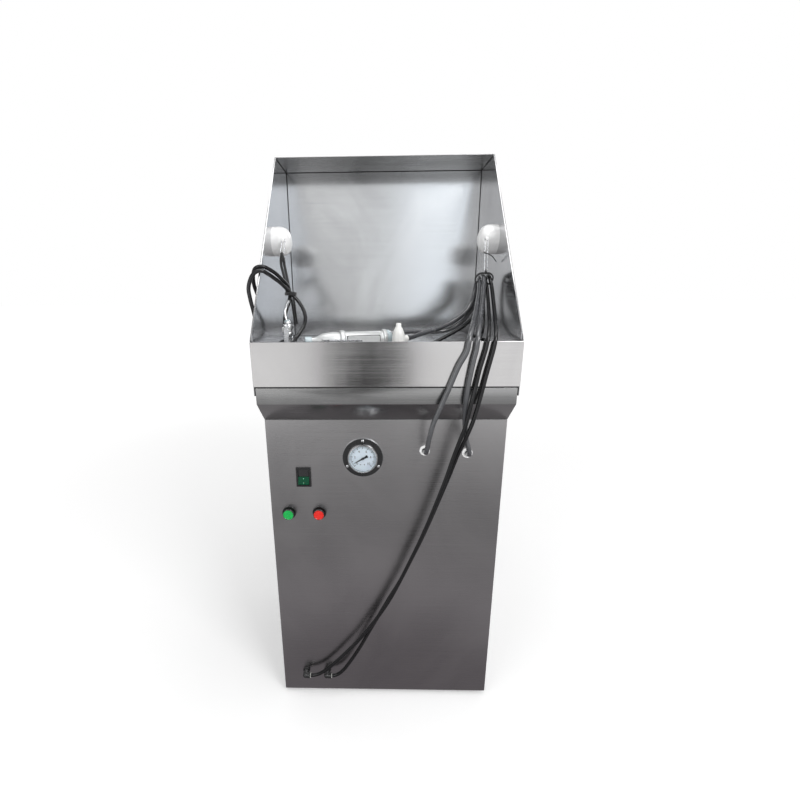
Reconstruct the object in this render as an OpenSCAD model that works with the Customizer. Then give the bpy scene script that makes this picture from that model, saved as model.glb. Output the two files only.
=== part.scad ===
// Stainless spray-gun parts washer: cabinet with pump and reservoir, wash basin with a perforated
// work grate, open-fronted hood, hoses carried over the apron, and the three tools they feed.
// Millimetres, +Z up, -Y is the operator's side, the feet stand on z = 0.

/* [Cabinet] */
// Outer width of the cabinet
cab_w = 500; // [500:1:500]
// Depth of the cabinet, front panel to back panel
cab_d = 360; // [360:1:360]
// Thickness of the stainless sheet
sheet = 1.5; // [1.2:0.1:1.5]
// Height of the cabinet's bottom edge above the floor
cab_bottom = 10; // [10:1:10]
// Height of the front panel's top edge
panel_top = 721; // [721:1:721]
// How far the tank rim stands out in front of the cabinet
rim_overhang = 44; // [44:1:44]
// Height of the tank rim
rim_top = 798; // [798:1:798]

/* [Hood] */
// Outer width of the hood
hood_w = 507; // [507:1:507]
// Top of the apron, the front edge that the operator leans over
apron_top = 886; // [880:1:886]
// Top of the hood
hood_top = 1280; // [1280:1:1300]
// Depth of the roof that covers the back of the hood
roof_d = 118; // [100:1:130]
// Top face of the work grate
grate_top = 860; // [860:1:860]

/* [Controls] */
// Distance of the gauge left of the middle
gauge_x = 47; // [47:1:47]
// Height of the gauge's centre
gauge_z = 638; // [638:1:638]
// Outer radius of the gauge flange
gauge_flange_r = 43; // [42:0.5:44]
// Height of the two push-buttons
button_z = 509; // [505:1:512]
// Width of the power rocker's frame
rocker_w = 32; // [32:1:34]
// Height of the power rocker's frame
rocker_h = 45; // [45:1:46]

/* [Hoses] */
// Radius of the two fluid hoses
fluid_r = 5; // [4:0.5:5]
// Radius of the two air hoses
air_r = 4; // [3:0.5:4]

/* [Hidden] */
$fn = 48;
half_w = cab_w / 2;
front_y = -160;
back_y = front_y + cab_d;
rim_y = front_y - rim_overhang;
hood_y = 206;
hood_half = hood_w / 2;
hood_in = hood_half - sheet;
gap = 1;
basin_bottom = 722;
basin_z = rim_top + sheet;
drain_y = 60;
apron_bottom = 801;
skirt_bottom = 783;
gauge_pos = [-gauge_x, front_y, gauge_z];
needle_rest = 210;
rocker_pos = [-175, front_y + 3, 593];
rocker_tilt = 12;
start_x = -210.5;
stop_x = -144;
grommets = [[83, 654], [172, 649]];
fittings = [[-194, 70], [-142, 70]];
foot_xy = [[-215, -125], [215, -125], [-215, 165], [215, 165]];
hanger_z = 1090;
hanger_y = 28;
hanger_peg = [222, -10, 1087];
gun_end = [2, -92, 880.3];
gun_turn = 14;
trigger_pivot = [-206, -104, 902];
nozzle_xy = [27, -132];
steel = [0.72, 0.72, 0.72];
dark_steel = [0.55, 0.55, 0.56];
black = [0.05, 0.05, 0.05];
white = [0.93, 0.93, 0.92];
brass = [0.72, 0.58, 0.30];
blue_dial = [0.72, 0.84, 0.95];

// Hose routes: hand-placed points of each hose's centre line, from the machine to the tool.
route_fluid_left = [[83, -150, 654], [83, -168, 654], [83, -186, 659.5], [83, -201, 673],
    [85, -209.5, 696], [91, -213, 727], [103, -213.5, 760], [119, -213.5, 800], [135, -213.5, 842],
    [149, -213.2, 871], [151, -212.3, 884.5], [153.5, -208, 894.5], [157.5, -199, 902],
    [162, -187, 908.5], [170, -160, 919.5], [180, -130, 934.5], [189, -100, 950.5], [198, -70, 967.5],
    [205.5, -42, 985], [208, -30, 993.5], [208.5, -18, 999.8], [208.5, -5.5, 1000.3], [208.5, 4, 994],
    [207.5, 8.5, 982], [204.5, 8, 967], [199.5, 3, 951], [190, -6, 936.5], [176, -18, 925],
    [160, -29, 915.5], [144, -38.5, 907.5], [122, -52, 900], [98, -66, 893.5], [76, -82, 888.5],
    [60, -98, 885], [45.4, -113.6, 883]];
route_fluid_right = [[172, -150, 649], [172, -168, 649], [171, -184, 655], [167, -196, 669],
    [161, -197, 689], [156.5, -200.5, 712], [153.5, -205, 738], [152, -209.6, 762], [152.3, -213, 783],
    [154, -213.5, 805], [157.5, -213.5, 830], [162, -213.5, 857], [165, -213.2, 871],
    [166.5, -212.3, 884.5], [168.5, -208, 894.5], [171, -199, 902], [174.5, -187, 909],
    [182, -160, 921.5], [191, -128, 939.5], [200.5, -95, 960], [208.5, -63, 981], [213.5, -44, 993.5],
    [215.5, -31, 1003], [216, -17, 1010], [216, -3, 1011], [216, 8.5, 1004.5], [216, 16, 991.5],
    [214.5, 18, 976], [211, 16, 960], [205, 10, 944], [196, 1, 929], [184, -11, 917], [170, -23, 907],
    [152, -33, 897.5], [134, -41, 892.5], [110, -46, 890.5], [85, -51, 891.5], [62, -60.5, 892.5],
    [42, -70.5, 892.5], [27, -77.4, 891.8], [11.7, -81.3, 891.3]];
route_air_left = [[-182, -176, 70], [-176, -176, 70], [-163, -176.5, 74], [-148, -177, 84], [-130, -177.5, 101],
    [-110, -178.5, 123], [-90, -179.5, 147], [-70, -181, 172], [-42, -185, 214], [-12, -189, 264],
    [12, -192, 310], [33, -194, 358], [54, -197, 411], [73, -199, 460], [91, -201.5, 512],
    [107, -204, 562], [122, -206.5, 612], [134, -209, 658], [144, -212.5, 694], [152, -216, 722],
    [157, -216.8, 748], [162, -216, 775], [168, -213.5, 802], [174, -212.5, 835], [180, -212.3, 860],
    [183, -212, 873], [185, -211, 885.5], [187.5, -206.5, 894.5], [190, -198, 901.5], [193, -187, 908],
    [199.5, -158, 919.5], [206.5, -125, 936], [213, -92, 953.5], [218, -62, 971], [221.5, -40, 985.5],
    [222.5, -29, 993.5], [222.5, -17, 999.5], [222.5, -5, 1000], [222.5, 4.5, 993.5], [222, 9.5, 981],
    [220, 10, 964], [216, 6.5, 947], [209, 0, 931], [200, -9, 917], [188, -19, 907], [174, -30, 898],
    [158, -39, 890], [140, -48, 882], [122, -57, 874], [104, -66, 867.5], [84, -75, 865],
    [64, -84.5, 865.5], [46, -90, 868.5], [31, -94, 872], [15.8, -97.8, 873.3]];
route_air_right = [[-130, -176, 70], [-124, -176, 70], [-114, -176, 74.5], [-101, -176, 87], [-86, -176.5, 110],
    [-71, -177, 136], [-56, -178, 165], [-38, -178.5, 203], [-14, -179, 252], [5, -180.5, 292],
    [37, -184, 358], [58, -186.5, 410], [78, -189, 460], [96, -192, 511], [113, -195, 562],
    [129, -198, 611], [144, -203, 662], [157, -211, 702], [166, -213.5, 730], [174, -213.5, 762],
    [181, -213, 795], [188, -212.5, 830], [194, -212.2, 858], [197, -212, 873], [199, -211, 885.5],
    [201, -206.5, 894.5], [203, -198, 901.5], [205.5, -187, 908.5], [211.5, -158, 921],
    [217.5, -125, 939], [223, -92, 958], [227.5, -62, 978], [229.5, -44, 991], [230, -31, 1001.5],
    [230, -17, 1008.5], [230, -3, 1009.5], [230.5, 8, 1003.5], [231, 15, 991], [231, 17.5, 975],
    [231, 17, 955], [230.5, 12, 935], [229, 1, 915], [225, -15, 896], [216, -37, 880],
    [202, -65, 869.5], [182, -97, 865], [156, -131, 864.6], [124, -158, 864.6], [80, -175, 864.6],
    [30, -182, 864.6]];
route_hank = [[30, -182, 864.6], [-25, -184, 864.6], [-80, -184, 864.6], [-130, -181, 864.6],
    [-160, -172, 865], [-179, -156, 866.5], [-187, -135, 873], [-185, -115, 883.5], [-178, -98, 895.5],
    [-171.5, -84, 910], [-170, -75, 925], [-175, -69, 942], [-184, -66, 957], [-195, -66.5, 970],
    [-206, -71, 982.5], [-216, -79.5, 994], [-227, -92, 1004.5], [-237, -105, 1013],
    [-246, -112, 1018.2], [-254, -115, 1017.5], [-262, -118, 1012], [-268.5, -121.5, 1000],
    [-272, -124.5, 984], [-270, -126, 965], [-266, -126, 943], [-263, -123, 920], [-262, -113, 901],
    [-262, -97, 892], [-262, -81, 899], [-263, -70, 918], [-265, -68, 944], [-269, -75, 970],
    [-272, -87, 994], [-268.5, -97, 1013], [-262, -104.5, 1022.5], [-254, -108.5, 1026],
    [-245, -107, 1026.5], [-235, -99, 1022], [-224, -87, 1013.5], [-214, -74.5, 1001.5],
    [-206, -63, 988], [-204, -57, 973], [-209, -50, 957], [-217, -41, 941], [-224, -32, 924],
    [-227, -25, 907], [-225, -22, 892], [-219, -26, 880], [-212, -37, 874], [-207.5, -51, 873],
    [-206, -68, 873]];
route_lance = [[-206, -88, 912], [-210, -86, 925], [-211, -83, 938], [-208, -79, 950], [-203, -76, 960]];

// ---- helpers ----
function unit(v) = v / norm(v);
function gap_at(p, i) = norm(p[i + 1] - p[i]);
function slope_at(p, i) =
    i == 0 ? unit(p[1] - p[0])
    : i == len(p) - 1 ? unit(p[i] - p[i - 1])
    : ((p[i + 1] - p[i]) / gap_at(p, i) * gap_at(p, i - 1)
        + (p[i] - p[i - 1]) / gap_at(p, i - 1) * gap_at(p, i)) / (gap_at(p, i) + gap_at(p, i - 1));
function between(p, i, t) =
    p[i] * (2 * t * t * t - 3 * t * t + 1) + p[i + 1] * (3 * t * t - 2 * t * t * t)
    + slope_at(p, i) * gap_at(p, i) * (t * t * t - 2 * t * t + t)
    + slope_at(p, i + 1) * gap_at(p, i) * (t * t * t - t * t);
function smooth(p, steps) = concat([for (i = [0:len(p) - 2]) for (s = [0:steps - 1]) between(p, i, s / steps)],
    [p[len(p) - 1]]);
function tangents(p) = [for (i = [0:len(p) - 1])
    unit(p[min(i + 1, len(p) - 1)] - p[max(i - 1, 0)])];
function level(n, t) = unit(n - (n * t) * t);
function normals(t) = [for (i = 0, n = level([0.31, 0.27, 0.91], t[0]); i < len(t);
    i = i + 1, n = i < len(t) ? level(n, t[i]) : n) n];

// A round tube of radius r swept along the smoothed route
module sweep(route, r, steps = 2, sides = 8) {
    p = smooth(route, steps);
    t = tangents(p);
    n = normals(t);
    rings = len(p);
    points = [for (i = [0:rings - 1]) for (k = [0:sides - 1])
        p[i] + r * (n[i] * cos(360 * k / sides) + cross(t[i], n[i]) * sin(360 * k / sides))];
    walls = [for (i = [0:rings - 2]) for (k = [0:sides - 1]) let (a = i * sides, b = (k + 1) % sides)
        [a + k, a + sides + k, a + sides + b, a + b]];
    start = [for (k = [0:sides - 1]) k];
    end = [for (k = [0:sides - 1]) (rings - 1) * sides + sides - 1 - k];
    polyhedron(points, concat(walls, [start, end]));
}

module block(low, high) {
    translate(low)
        cube(high - low);
}

// A cylinder along Y from y0 to y1
module bar_y(x, z, y0, y1, r) {
    translate([x, y0, z])
        rotate([-90, 0, 0])
            cylinder(h = y1 - y0, r = r);
}

module bar_x(y, z, x0, x1, r) {
    translate([x0, y, z])
        rotate([0, 90, 0])
            cylinder(h = x1 - x0, r = r);
}

module bar_z(x, y, z0, z1, r) {
    translate([x, y, z0])
        cylinder(h = z1 - z0, r = r);
}

// A ring along Y, outer radius ro, inner radius ri
module ring_y(x, z, y0, y1, ro, ri) {
    difference() {
        bar_y(x, z, y0, y1, ro);
        bar_y(x, z, y0 - 1, y1 + 1, ri);
    }
}

// A sheet whose outline is given in Y and Z, from x0 to x1
module profile_x(outline, x0, x1) {
    translate([x0, 0, 0])
        rotate([90, 0, 90])
            linear_extrude(x1 - x0)
                polygon(outline);
}

// ---- cabinet ----
module side_panel(side) {
    lip = 15;
    inner = half_w - sheet;
    outer = side * half_w;
    block([min(outer, side * inner), front_y + sheet, cab_bottom],
        [max(outer, side * inner), back_y - sheet, panel_top + gap]);
    for (y = [front_y + sheet, back_y - 2 * sheet])
        block([min(side * inner, side * (inner - lip)), y, cab_bottom + 20],
            [max(side * inner, side * (inner - lip)), y + sheet, panel_top - 21]);
}

module side_panel_left() {
    color(steel) side_panel(-1);
}

module side_panel_right() {
    color(steel) side_panel(1);
}

module front_panel() {
    rocker_cut = [27, 40];
    color(steel) difference() {
        block([-half_w, front_y, cab_bottom], [half_w, front_y + sheet, panel_top]);
        bar_y(gauge_pos[0], gauge_z, front_y - 1, front_y + 3, 31.5);
        for (k = [0:2])
            bar_y(gauge_pos[0] + 38 * sin(120 * k), gauge_z + 38 * cos(120 * k), front_y - 1, front_y + 3, 2.1);
        block([rocker_pos[0] - rocker_cut[0] / 2, front_y - 1, rocker_pos[2] - rocker_cut[1] / 2],
            [rocker_pos[0] + rocker_cut[0] / 2, front_y + 3, rocker_pos[2] + rocker_cut[1] / 2]);
        for (x = [start_x, stop_x])
            bar_y(x, button_z, front_y - 1, front_y + 3, 11.2);
        for (g = grommets)
            bar_y(g[0], g[1], front_y - 1, front_y + 3, 8);
        for (f = fittings)
            bar_y(f[0], f[1], front_y - 1, front_y + 3, 6.2);
    }
}

module back_panel() {
    color(steel) difference() {
        block([-half_w, back_y - sheet, cab_bottom], [half_w, back_y, basin_z - sheet]);
        block([-190, back_y - 5, 160], [190, back_y + 5, 680]);
        block([80, back_y - 5, 38], [178, back_y + 5, 112]);
        bar_y(-180, 90, back_y - 5, back_y + 5, 8.2);
    }
}

module base_pan() {
    lip = 20;
    inner = half_w - sheet;
    color(steel) difference() {
        union() {
            block([-inner, front_y + sheet, cab_bottom], [inner, back_y - sheet, cab_bottom + sheet]);
            for (y = [front_y + sheet, back_y - 2 * sheet])
                block([-inner, y, cab_bottom], [inner, y + sheet, cab_bottom + lip]);
        }
        for (p = foot_xy)
            bar_z(p[0], p[1], cab_bottom - 1, cab_bottom + 5, 5.3);
    }
}

module corner_posts() {
    leg = 20;
    wall = 2;
    inner = half_w - sheet;
    color(dark_steel) for (sx = [-1, 1]) for (sy = [0, 1])
        translate([sx * (inner - leg / 2), sy == 0 ? front_y + 2 * sheet + leg / 2 : back_y - 2 * sheet - leg / 2, 0])
            difference() {
                block([-leg / 2, -leg / 2, cab_bottom + 20], [leg / 2, leg / 2, panel_top - 21]);
                translate([-sx * wall, (sy == 0 ? 1 : -1) * wall, 0])
                    block([-leg / 2, -leg / 2, 0], [leg / 2, leg / 2, 900]);
            }
}
// ---- tank rim and basin ----
slope_in = sheet * tan(22.5);

module rim_front() {
    leg = 20;
    lip = 12;
    run = rim_overhang;
    low = panel_top + gap;
    inner = half_w - sheet;
    color(steel) {
        profile_x([[front_y, low], [rim_y, low + run], [rim_y, rim_top], [rim_y + lip, rim_top],
            [rim_y + lip, rim_top - sheet], [rim_y + sheet, rim_top - sheet],
            [rim_y + sheet, low + run + slope_in], [front_y + sheet + slope_in, low]], -half_w, half_w);
        profile_x([[front_y + sheet, low - leg], [front_y + 2 * sheet, low - leg],
            [front_y + 2 * sheet, low - sheet + slope_in], [front_y + sheet, low + slope_in]], -inner, inner);
    }
}

module rim_side(side) {
    run = rim_overhang;
    low = panel_top + gap;
    color(steel) profile_x([[back_y - sheet, low], [front_y + sheet + slope_in, low],
        [rim_y + sheet, low + run + slope_in], [rim_y + sheet, rim_top - sheet], [back_y - sheet, rim_top - sheet]],
        side > 0 ? half_w - sheet : -half_w, side > 0 ? half_w : -half_w + sheet);
}

module rim_side_left() {
    rim_side(-1);
}

module rim_side_right() {
    rim_side(1);
}

// A straight-sided funnel between the basin's mouth and the drain pad, grown by g
module basin_solid(g, mouth_z) {
    pad = 45;
    hull() {
        block([-236 - g, -188 - g, mouth_z - 1], [236 + g, 184 + g, mouth_z]);
        block([-236 - g, -188 - g, rim_top - 25 - g], [236 + g, 184 + g, rim_top - 24 - g]);
        block([-pad - g, drain_y - pad - g, basin_bottom - g], [pad + g, drain_y + pad + g, basin_bottom + 1 - g]);
    }
}

module wash_basin() {
    color(steel) difference() {
        union() {
            block([-half_w + sheet, rim_y + 2, rim_top], [half_w - sheet, back_y - sheet, basin_z]);
            basin_solid(sheet, rim_top);
        }
        basin_solid(0, basin_z + 1);
        bar_z(0, drain_y, basin_bottom - 10, basin_bottom + 10, 24);
    }
}

module drain_strainer() {
    color(dark_steel) difference() {
        union() {
            bar_z(0, drain_y, basin_bottom + 0.2, basin_bottom + 2.2, 30);
            bar_z(0, drain_y, basin_bottom - 20, basin_bottom + 2, 21);
        }
        bar_z(0, drain_y, basin_bottom - 18.5, basin_bottom + 10, 19.5);
        for (k = [0:5])
            bar_z(12 * cos(60 * k), drain_y + 12 * sin(60 * k), basin_bottom - 30, basin_bottom, 2.5);
        bar_z(0, drain_y, basin_bottom - 30, basin_bottom, 2.5);
    }
}

module work_grate() {
    pitch = 32;
    slot_r = 4;
    thick = 3;
    color(steel) {
        difference() {
            block([-240, -200, grate_top - thick], [240, 196, grate_top]);
            for (i = [-7:7]) for (j = [-5:5])
                bar_z(i * pitch, j * pitch, grate_top - 10, grate_top + 1, slot_r);
        }
        for (x = [-240, 236]) for (y = [-190, 150])
            block([x, y, basin_z], [x + 4, y + 40, grate_top - thick]);
    }
}

module rim_gasket() {
    color(black) {
        block([-hood_in, -204.5, rim_top + 0.2], [hood_in, -204.2, apron_bottom]);
        block([-hood_in, -204.2, basin_z], [hood_in, -196, apron_bottom]);
        for (side = [-1, 1])
            block([min(side * half_w, side * hood_in), -204.2, skirt_bottom],
                [max(side * half_w, side * hood_in), -190, basin_z]);
        for (side = [-1, 1])
            block([min(side * half_w, side * hood_in), -190, skirt_bottom],
                [max(side * half_w, side * hood_in), back_y - sheet, rim_top]);
        block([-half_w, back_y, skirt_bottom], [half_w, hood_y - sheet, rim_top]);
    }
}

// ---- hood ----
module apron() {
    hem = 6;
    color(steel) {
        block([-hood_half, -hood_y, apron_bottom], [hood_half, -hood_y + sheet, apron_top]);
        block([-hood_in + 3, -hood_y + sheet, apron_top - sheet], [hood_in - 3, -hood_y + hem, apron_top]);
    }
}

roof_front = hood_y - roof_d;
edge_slope = (hood_top - apron_top) / (roof_front + hood_y);

module hood_side(side) {
    y0 = -hood_y + sheet;
    y1 = hood_y - sheet;
    hem = 10;
    edge = apron_top + sheet * edge_slope;
    top_y = roof_front - sheet / edge_slope;
    color(steel) {
        profile_x([[y0, skirt_bottom], [y1, skirt_bottom], [y1, hood_top - sheet], [top_y, hood_top - sheet],
            [y0, edge]], side > 0 ? hood_in : -hood_half, side > 0 ? hood_half : -hood_in);
        profile_x([[y0 + hem, edge + hem * edge_slope], [top_y, hood_top - sheet],
            [top_y + hem, hood_top - sheet], [y0 + hem, edge - 4]],
            side > 0 ? hood_in - sheet : -hood_in, side > 0 ? hood_in : -hood_in + sheet);
    }
}

module hood_side_left() {
    hood_side(-1);
}

module hood_side_right() {
    hood_side(1);
}

module hood_back() {
    color(steel) block([-hood_half, hood_y - sheet, skirt_bottom], [hood_half, hood_y, hood_top - sheet]);
}

module hood_roof() {
    color(steel) block([-hood_half, roof_front, hood_top - sheet], [hood_half, hood_y, hood_top]);
}

// ---- rear and fasteners ----
module rear_cover() {
    slots = 6;
    color(steel) difference() {
        block([-205, back_y, 145], [205, back_y + sheet, 695]);
        for (i = [0:slots - 1])
            block([-90, back_y - 1, 560 + 16 * i], [90, back_y + 3, 566 + 16 * i]);
    }
}

module dome_head_y(x, z, y, r, out) {
    translate([x, y, z])
        rotate([out > 0 ? -90 : 90, 0, 0])
            intersection() {
                translate([0, 0, -r * 0.35])
                    sphere(r = r);
                cylinder(h = r, r = r);
            }
}

module panel_screws() {
    color(dark_steel) {
        for (x = [-197, 0, 197]) for (z = [153, 420, 687])
            if (x != 0 || z != 420)
                dome_head_y(x, z, back_y + sheet, 4, 1);
        for (k = [0:2])
            dome_head_y(gauge_pos[0] + 38 * sin(120 * k), gauge_z + 38 * cos(120 * k), front_y - 3, 3.6, -1);
    }
}

module levelling_feet() {
    color(black) for (p = foot_xy) {
        bar_z(p[0], p[1], 0, 5, 14);
        bar_z(p[0], p[1], 4, 34, 5);
    }
}

module foot_locknuts() {
    color(dark_steel) for (p = foot_xy)
        translate([p[0], p[1], 0])
            for (z = [5, cab_bottom + sheet])
                difference() {
                    translate([0, 0, z])
                        cylinder(h = cab_bottom - 5, r = 9.5, $fn = 6);
                    bar_z(0, 0, z - 1, z + 10, 5.05);
                }
}

// ---- wet end ----
module reservoir() {
    wall = 2;
    low = [-70, -80, 30];
    high = [235, 150, 330];
    color(steel) difference() {
        block(low, high);
        block(low + [wall, wall, wall], high + [-wall, -wall, 10]);
        bar_x(-70, 60, low[0] - 5, low[0] + 5, 8.1);
        bar_y(150, 75, high[1] - 5, high[1] + 5, 12.1);
    }
}

module reservoir_lid() {
    color(steel) difference() {
        block([-75, -85, 330], [240, 155, 332]);
        bar_z(0, drain_y, 320, 340, 20.2);
    }
}

module drain_pipe() {
    under = basin_bottom - sheet;
    color(dark_steel) difference() {
        union() {
            bar_z(0, drain_y, 310, under - 20, 20);
            bar_z(0, drain_y, under - 24, under, 25);
            bar_z(0, drain_y, under - 4, under, 34);
        }
        bar_z(0, drain_y, 300, under, 17.5);
        bar_z(0, drain_y, under - 21, under + 1, 21.5);
    }
}

module pump_motor() {
    color([0.12, 0.22, 0.42]) {
        bar_y(-150, 92, -60, 92, 46);
        for (k = [-3:3])
            translate([-150, -40, 92])
                rotate([0, 30 * k, 0])
                    block([-1.5, 0, 45], [1.5, 110, 50]);
    }
    color(black) bar_y(-150, 92, 92, 104, 40);
}

module pump_head() {
    color(brass) difference() {
        union() {
            block([-198, -110, 50], [-102, -66, 134]);
            bar_y(-150, 92, -66, -60, 30);
            bar_x(-88, 110, -102, -82, 9);
        }
        bar_x(-88, 110, -92, -81, 6.05);
    }
}

module pump_bracket() {
    base = cab_bottom + sheet;
    color(dark_steel) {
        block([-200, -120, base], [-85, 110, base + 4]);
        difference() {
            for (y = [-45, 60])
                block([-190, y, base + 4], [-110, y + 6, 70]);
            bar_y(-150, 92, -70, 100, 46.3);
        }
    }
}

module filter_bowl() {
    color([0.75, 0.82, 0.88]) difference() {
        bar_z(-92, -125, 180, 290, 24);
        bar_z(-92, -125, 184, 300, 21);
    }
    color(black) difference() {
        bar_z(-92, -125, 290, 312, 26);
        bar_z(-92, -125, 280, 320, 6.05);
    }
}

module pressure_manifold() {
    color(brass) {
        difference() {
            block([60, -142, 640], [195, -112, 670]);
            bar_z(100, -125, 655, 680, 6.05);
        }
        for (g = grommets)
            bar_y(g[0], g[1], -150, -142, 5);
        bar_x(-127, 638, 50, 60, 7);
    }
    color(brass) block([56, -132, 630], [64, -118, 645]);
}

// A pipe of radius r through the corners of a route, with rounded corners
module pipe(corners, r) {
    for (i = [0:len(corners) - 2])
        rod(corners[i], corners[i + 1], r);
    for (i = [1:len(corners) - 2])
        translate(corners[i])
            sphere(r = r);
}

module fluid_pipes() {
    color([0.72, 0.45, 0.25]) {
        pipe([[-102, -70, 60], [-66, -70, 60]], 8);
        pipe([[-92, -88, 110], [-58, -88, 110], [-58, -125, 110], [-58, -125, 301], [-66, -125, 301]], 6);
        pipe([[-92, -125, 306], [-92, -125, 705], [100, -125, 705], [100, -125, 660]], 6);
        pipe([[-40, -118, gauge_z], [50, -118, gauge_z]], 3);
    }
    color(black) for (f = fittings)
        bar_y(f[0], f[1], -150, -110, 3);
}

module drain_valve() {
    color(brass) difference() {
        union() {
            bar_y(150, 75, 146, 160, 12);
            bar_y(150, 75, 160, 186, 15);
            bar_y(150, 75, 186, 204, 9);
            bar_z(150, 174, 75, 94, 7);
            bar_z(150, 174, 94, 104, 4);
        }
        bar_y(150, 75, 190, 206, 6.5);
    }
}

module drain_handle() {
    color([0.75, 0.12, 0.1]) difference() {
        union() {
            block([92, 168, 95], [150, 180, 98]);
            bar_z(150, 174, 95, 98, 9);
        }
        bar_z(150, 174, 90, 110, 4.05);
    }
}

// ---- electrics ----
module control_box() {
    wall = 2;
    low = [-half_w + sheet, -105, 470];
    high = [-118, -40, 640];
    color([0.8, 0.8, 0.78]) difference() {
        block(low, high);
        block(low + [wall, wall, wall], high - [wall, wall, wall]);
    }
}

module mains_gland() {
    color(black) difference() {
        union() {
            bar_y(-180, 90, back_y - 14, back_y + 6, 8);
            for (y = [back_y - sheet - 5, back_y])
                translate([-180, y, 90])
                    rotate([-90, 0, 0])
                        cylinder(h = 5, r = 12, $fn = 6);
        }
        bar_y(-180, 90, back_y - 20, back_y + 10, 4.5);
    }
}

module gauge_case() {
    x = gauge_pos[0];
    color(black) difference() {
        union() {
            bar_y(x, gauge_z, front_y - 3, front_y, gauge_flange_r);
            bar_y(x, gauge_z, front_y - 3, front_y + 38, 31);
            bar_y(x, gauge_z, front_y + 38, front_y + 48, 7);
        }
        bar_y(x, gauge_z, front_y - 6, front_y + 35, 28.6);
        for (k = [0:2])
            bar_y(x + 38 * sin(120 * k), gauge_z + 38 * cos(120 * k), front_y - 5, front_y + 3, 2.1);
    }
}

module gauge_bezel() {
    x = gauge_pos[0];
    color([0.85, 0.85, 0.86]) {
        ring_y(x, gauge_z, front_y - 12, front_y - 3, 32.8, 28.6);
        for (s = [-1, 1])
            block([x - 2.5, front_y - 10, gauge_z + s * 33 - 1.2], [x + 2.5, front_y - 3, gauge_z + s * 33 + 1.2]);
    }
}

module gauge_dial() {
    color(blue_dial) difference() {
        bar_y(gauge_pos[0], gauge_z, front_y - 6, front_y - 5, 28.6);
        bar_y(gauge_pos[0], gauge_z, front_y - 7, front_y - 4, 1.3);
    }
    color(dark_steel) {
        bar_y(gauge_pos[0], gauge_z, front_y - 8.6, front_y + 10, 1.2);
        bar_y(gauge_pos[0], gauge_z, front_y - 5, front_y + 35, 4);
    }
}

module gauge_needle() {
    color(black) translate([gauge_pos[0], front_y - 8, gauge_z])
        rotate([90, 0, 0])
            linear_extrude(0.6, center = true)
                rotate(needle_rest)
                    difference() {
                        union() {
                            polygon([[-12, -2.2], [-10, -2.6], [-8, -1.2], [0, -1.2], [22, -0.3], [22, 0.3],
                                [0, 1.2], [-8, 1.2], [-10, 2.6], [-12, 2.2]]);
                            circle(r = 2.6);
                        }
                        circle(r = 1.25);
                    }
}

module gauge_lens() {
    color([0.9, 0.95, 1, 0.4]) bar_y(gauge_pos[0], gauge_z, front_y - 10.6, front_y - 9.4, 28.6);
}

module rocker_frame() {
    open_w = 24;
    open_h = 38;
    x = rocker_pos[0];
    z = rocker_pos[2];
    color(black) difference() {
        union() {
            block([x - rocker_w / 2, front_y - 2.5, z - rocker_h / 2], [x + rocker_w / 2, front_y, z + rocker_h / 2]);
            block([x - 13.4, front_y, z - 19.9], [x + 13.4, front_y + 30, z + 19.9]);
        }
        block([x - open_w / 2, front_y - 5, z - open_h / 2], [x + open_w / 2, front_y + 27, z + open_h / 2]);
        bar_x(rocker_pos[1], z, x - 13.6, x + 13.6, 1.55);
    }
}

module rocker() {
    color([0.02, 0.16, 0.09]) translate(rocker_pos)
        rotate([-rocker_tilt, 0, 0]) {
            profile_x([[2, -17], [-7, -17], [-4.5, 0], [-7, 17], [2, 17], [10, 9], [12, 0], [10, -9]], -11.6, 11.6);
            bar_x(0, 0, -13.4, 13.4, 1.5);
        }
}

module button_bezels() {
    color(black) for (x = [start_x, stop_x]) {
        ring_y(x, button_z, front_y - 5, front_y, 15, 12.4);
        ring_y(x, button_z, front_y - 1, front_y, 13, 10.5);
        ring_y(x, button_z, front_y - 0.5, front_y + 30, 10.9, 6.05);
        bar_y(x, button_z, front_y + 30, front_y + 50, 7.9);
        translate([x, front_y + sheet, button_z])
            rotate([-90, 0, 0])
                difference() {
                    cylinder(h = 6, r = 15, $fn = 6);
                    translate([0, 0, -1])
                        cylinder(h = 8, r = 10.85);
                }
    }
}

module push_button(x) {
    difference() {
        union() {
            bar_y(x, button_z, front_y - 15, front_y - 6, 12);
            bar_y(x, button_z, front_y - 6.5, front_y + 20, 6);
        }
        ring_y(x, button_z, front_y - 16, front_y - 13.8, 14, 10.8);
    }
}

module start_button() {
    color([0.05, 0.65, 0.2]) push_button(start_x);
}

module stop_button() {
    color([0.85, 0.08, 0.06]) push_button(stop_x);
}

// ---- hose exits ----
module hose_grommets() {
    color(white) for (g = grommets)
        difference() {
            union() {
                bar_y(g[0], g[1], front_y - 3, front_y, 11);
                bar_y(g[0], g[1], front_y, front_y + sheet, 7.9);
                bar_y(g[0], g[1], front_y + sheet, front_y + 4, 10);
            }
            bar_y(g[0], g[1], front_y - 5, front_y + 6, 5.6);
        }
}

module air_fittings() {
    color(black) for (f = fittings) {
        translate([f[0], front_y - 4, f[1]])
            rotate([-90, 0, 0])
                cylinder(h = 4, r = 9, $fn = 6);
        bar_y(f[0], f[1], front_y, front_y + 10, 6);
        bar_y(f[0], f[1], -176, front_y - 4, 6.5);
        translate([f[0], -176, f[1]])
            sphere(r = 6.5);
        bar_x(-176, f[1], f[0], f[0] + 12, 6.5);
    }
}

// ---- hangers, ties ----
module hanger_dome(side) {
    r = 32;
    h = 40;
    translate([side * hood_in, hanger_y, hanger_z])
        rotate([0, -side * 90, 0])
            rotate_extrude()
                polygon(concat([[0, 0], [r, 0], [r, 14]],
                    [for (a = [0:15:90]) [r - 24 + 24 * cos(a), 18 + (h - 18) * sin(a)]], [[0, h]]));
}

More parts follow.
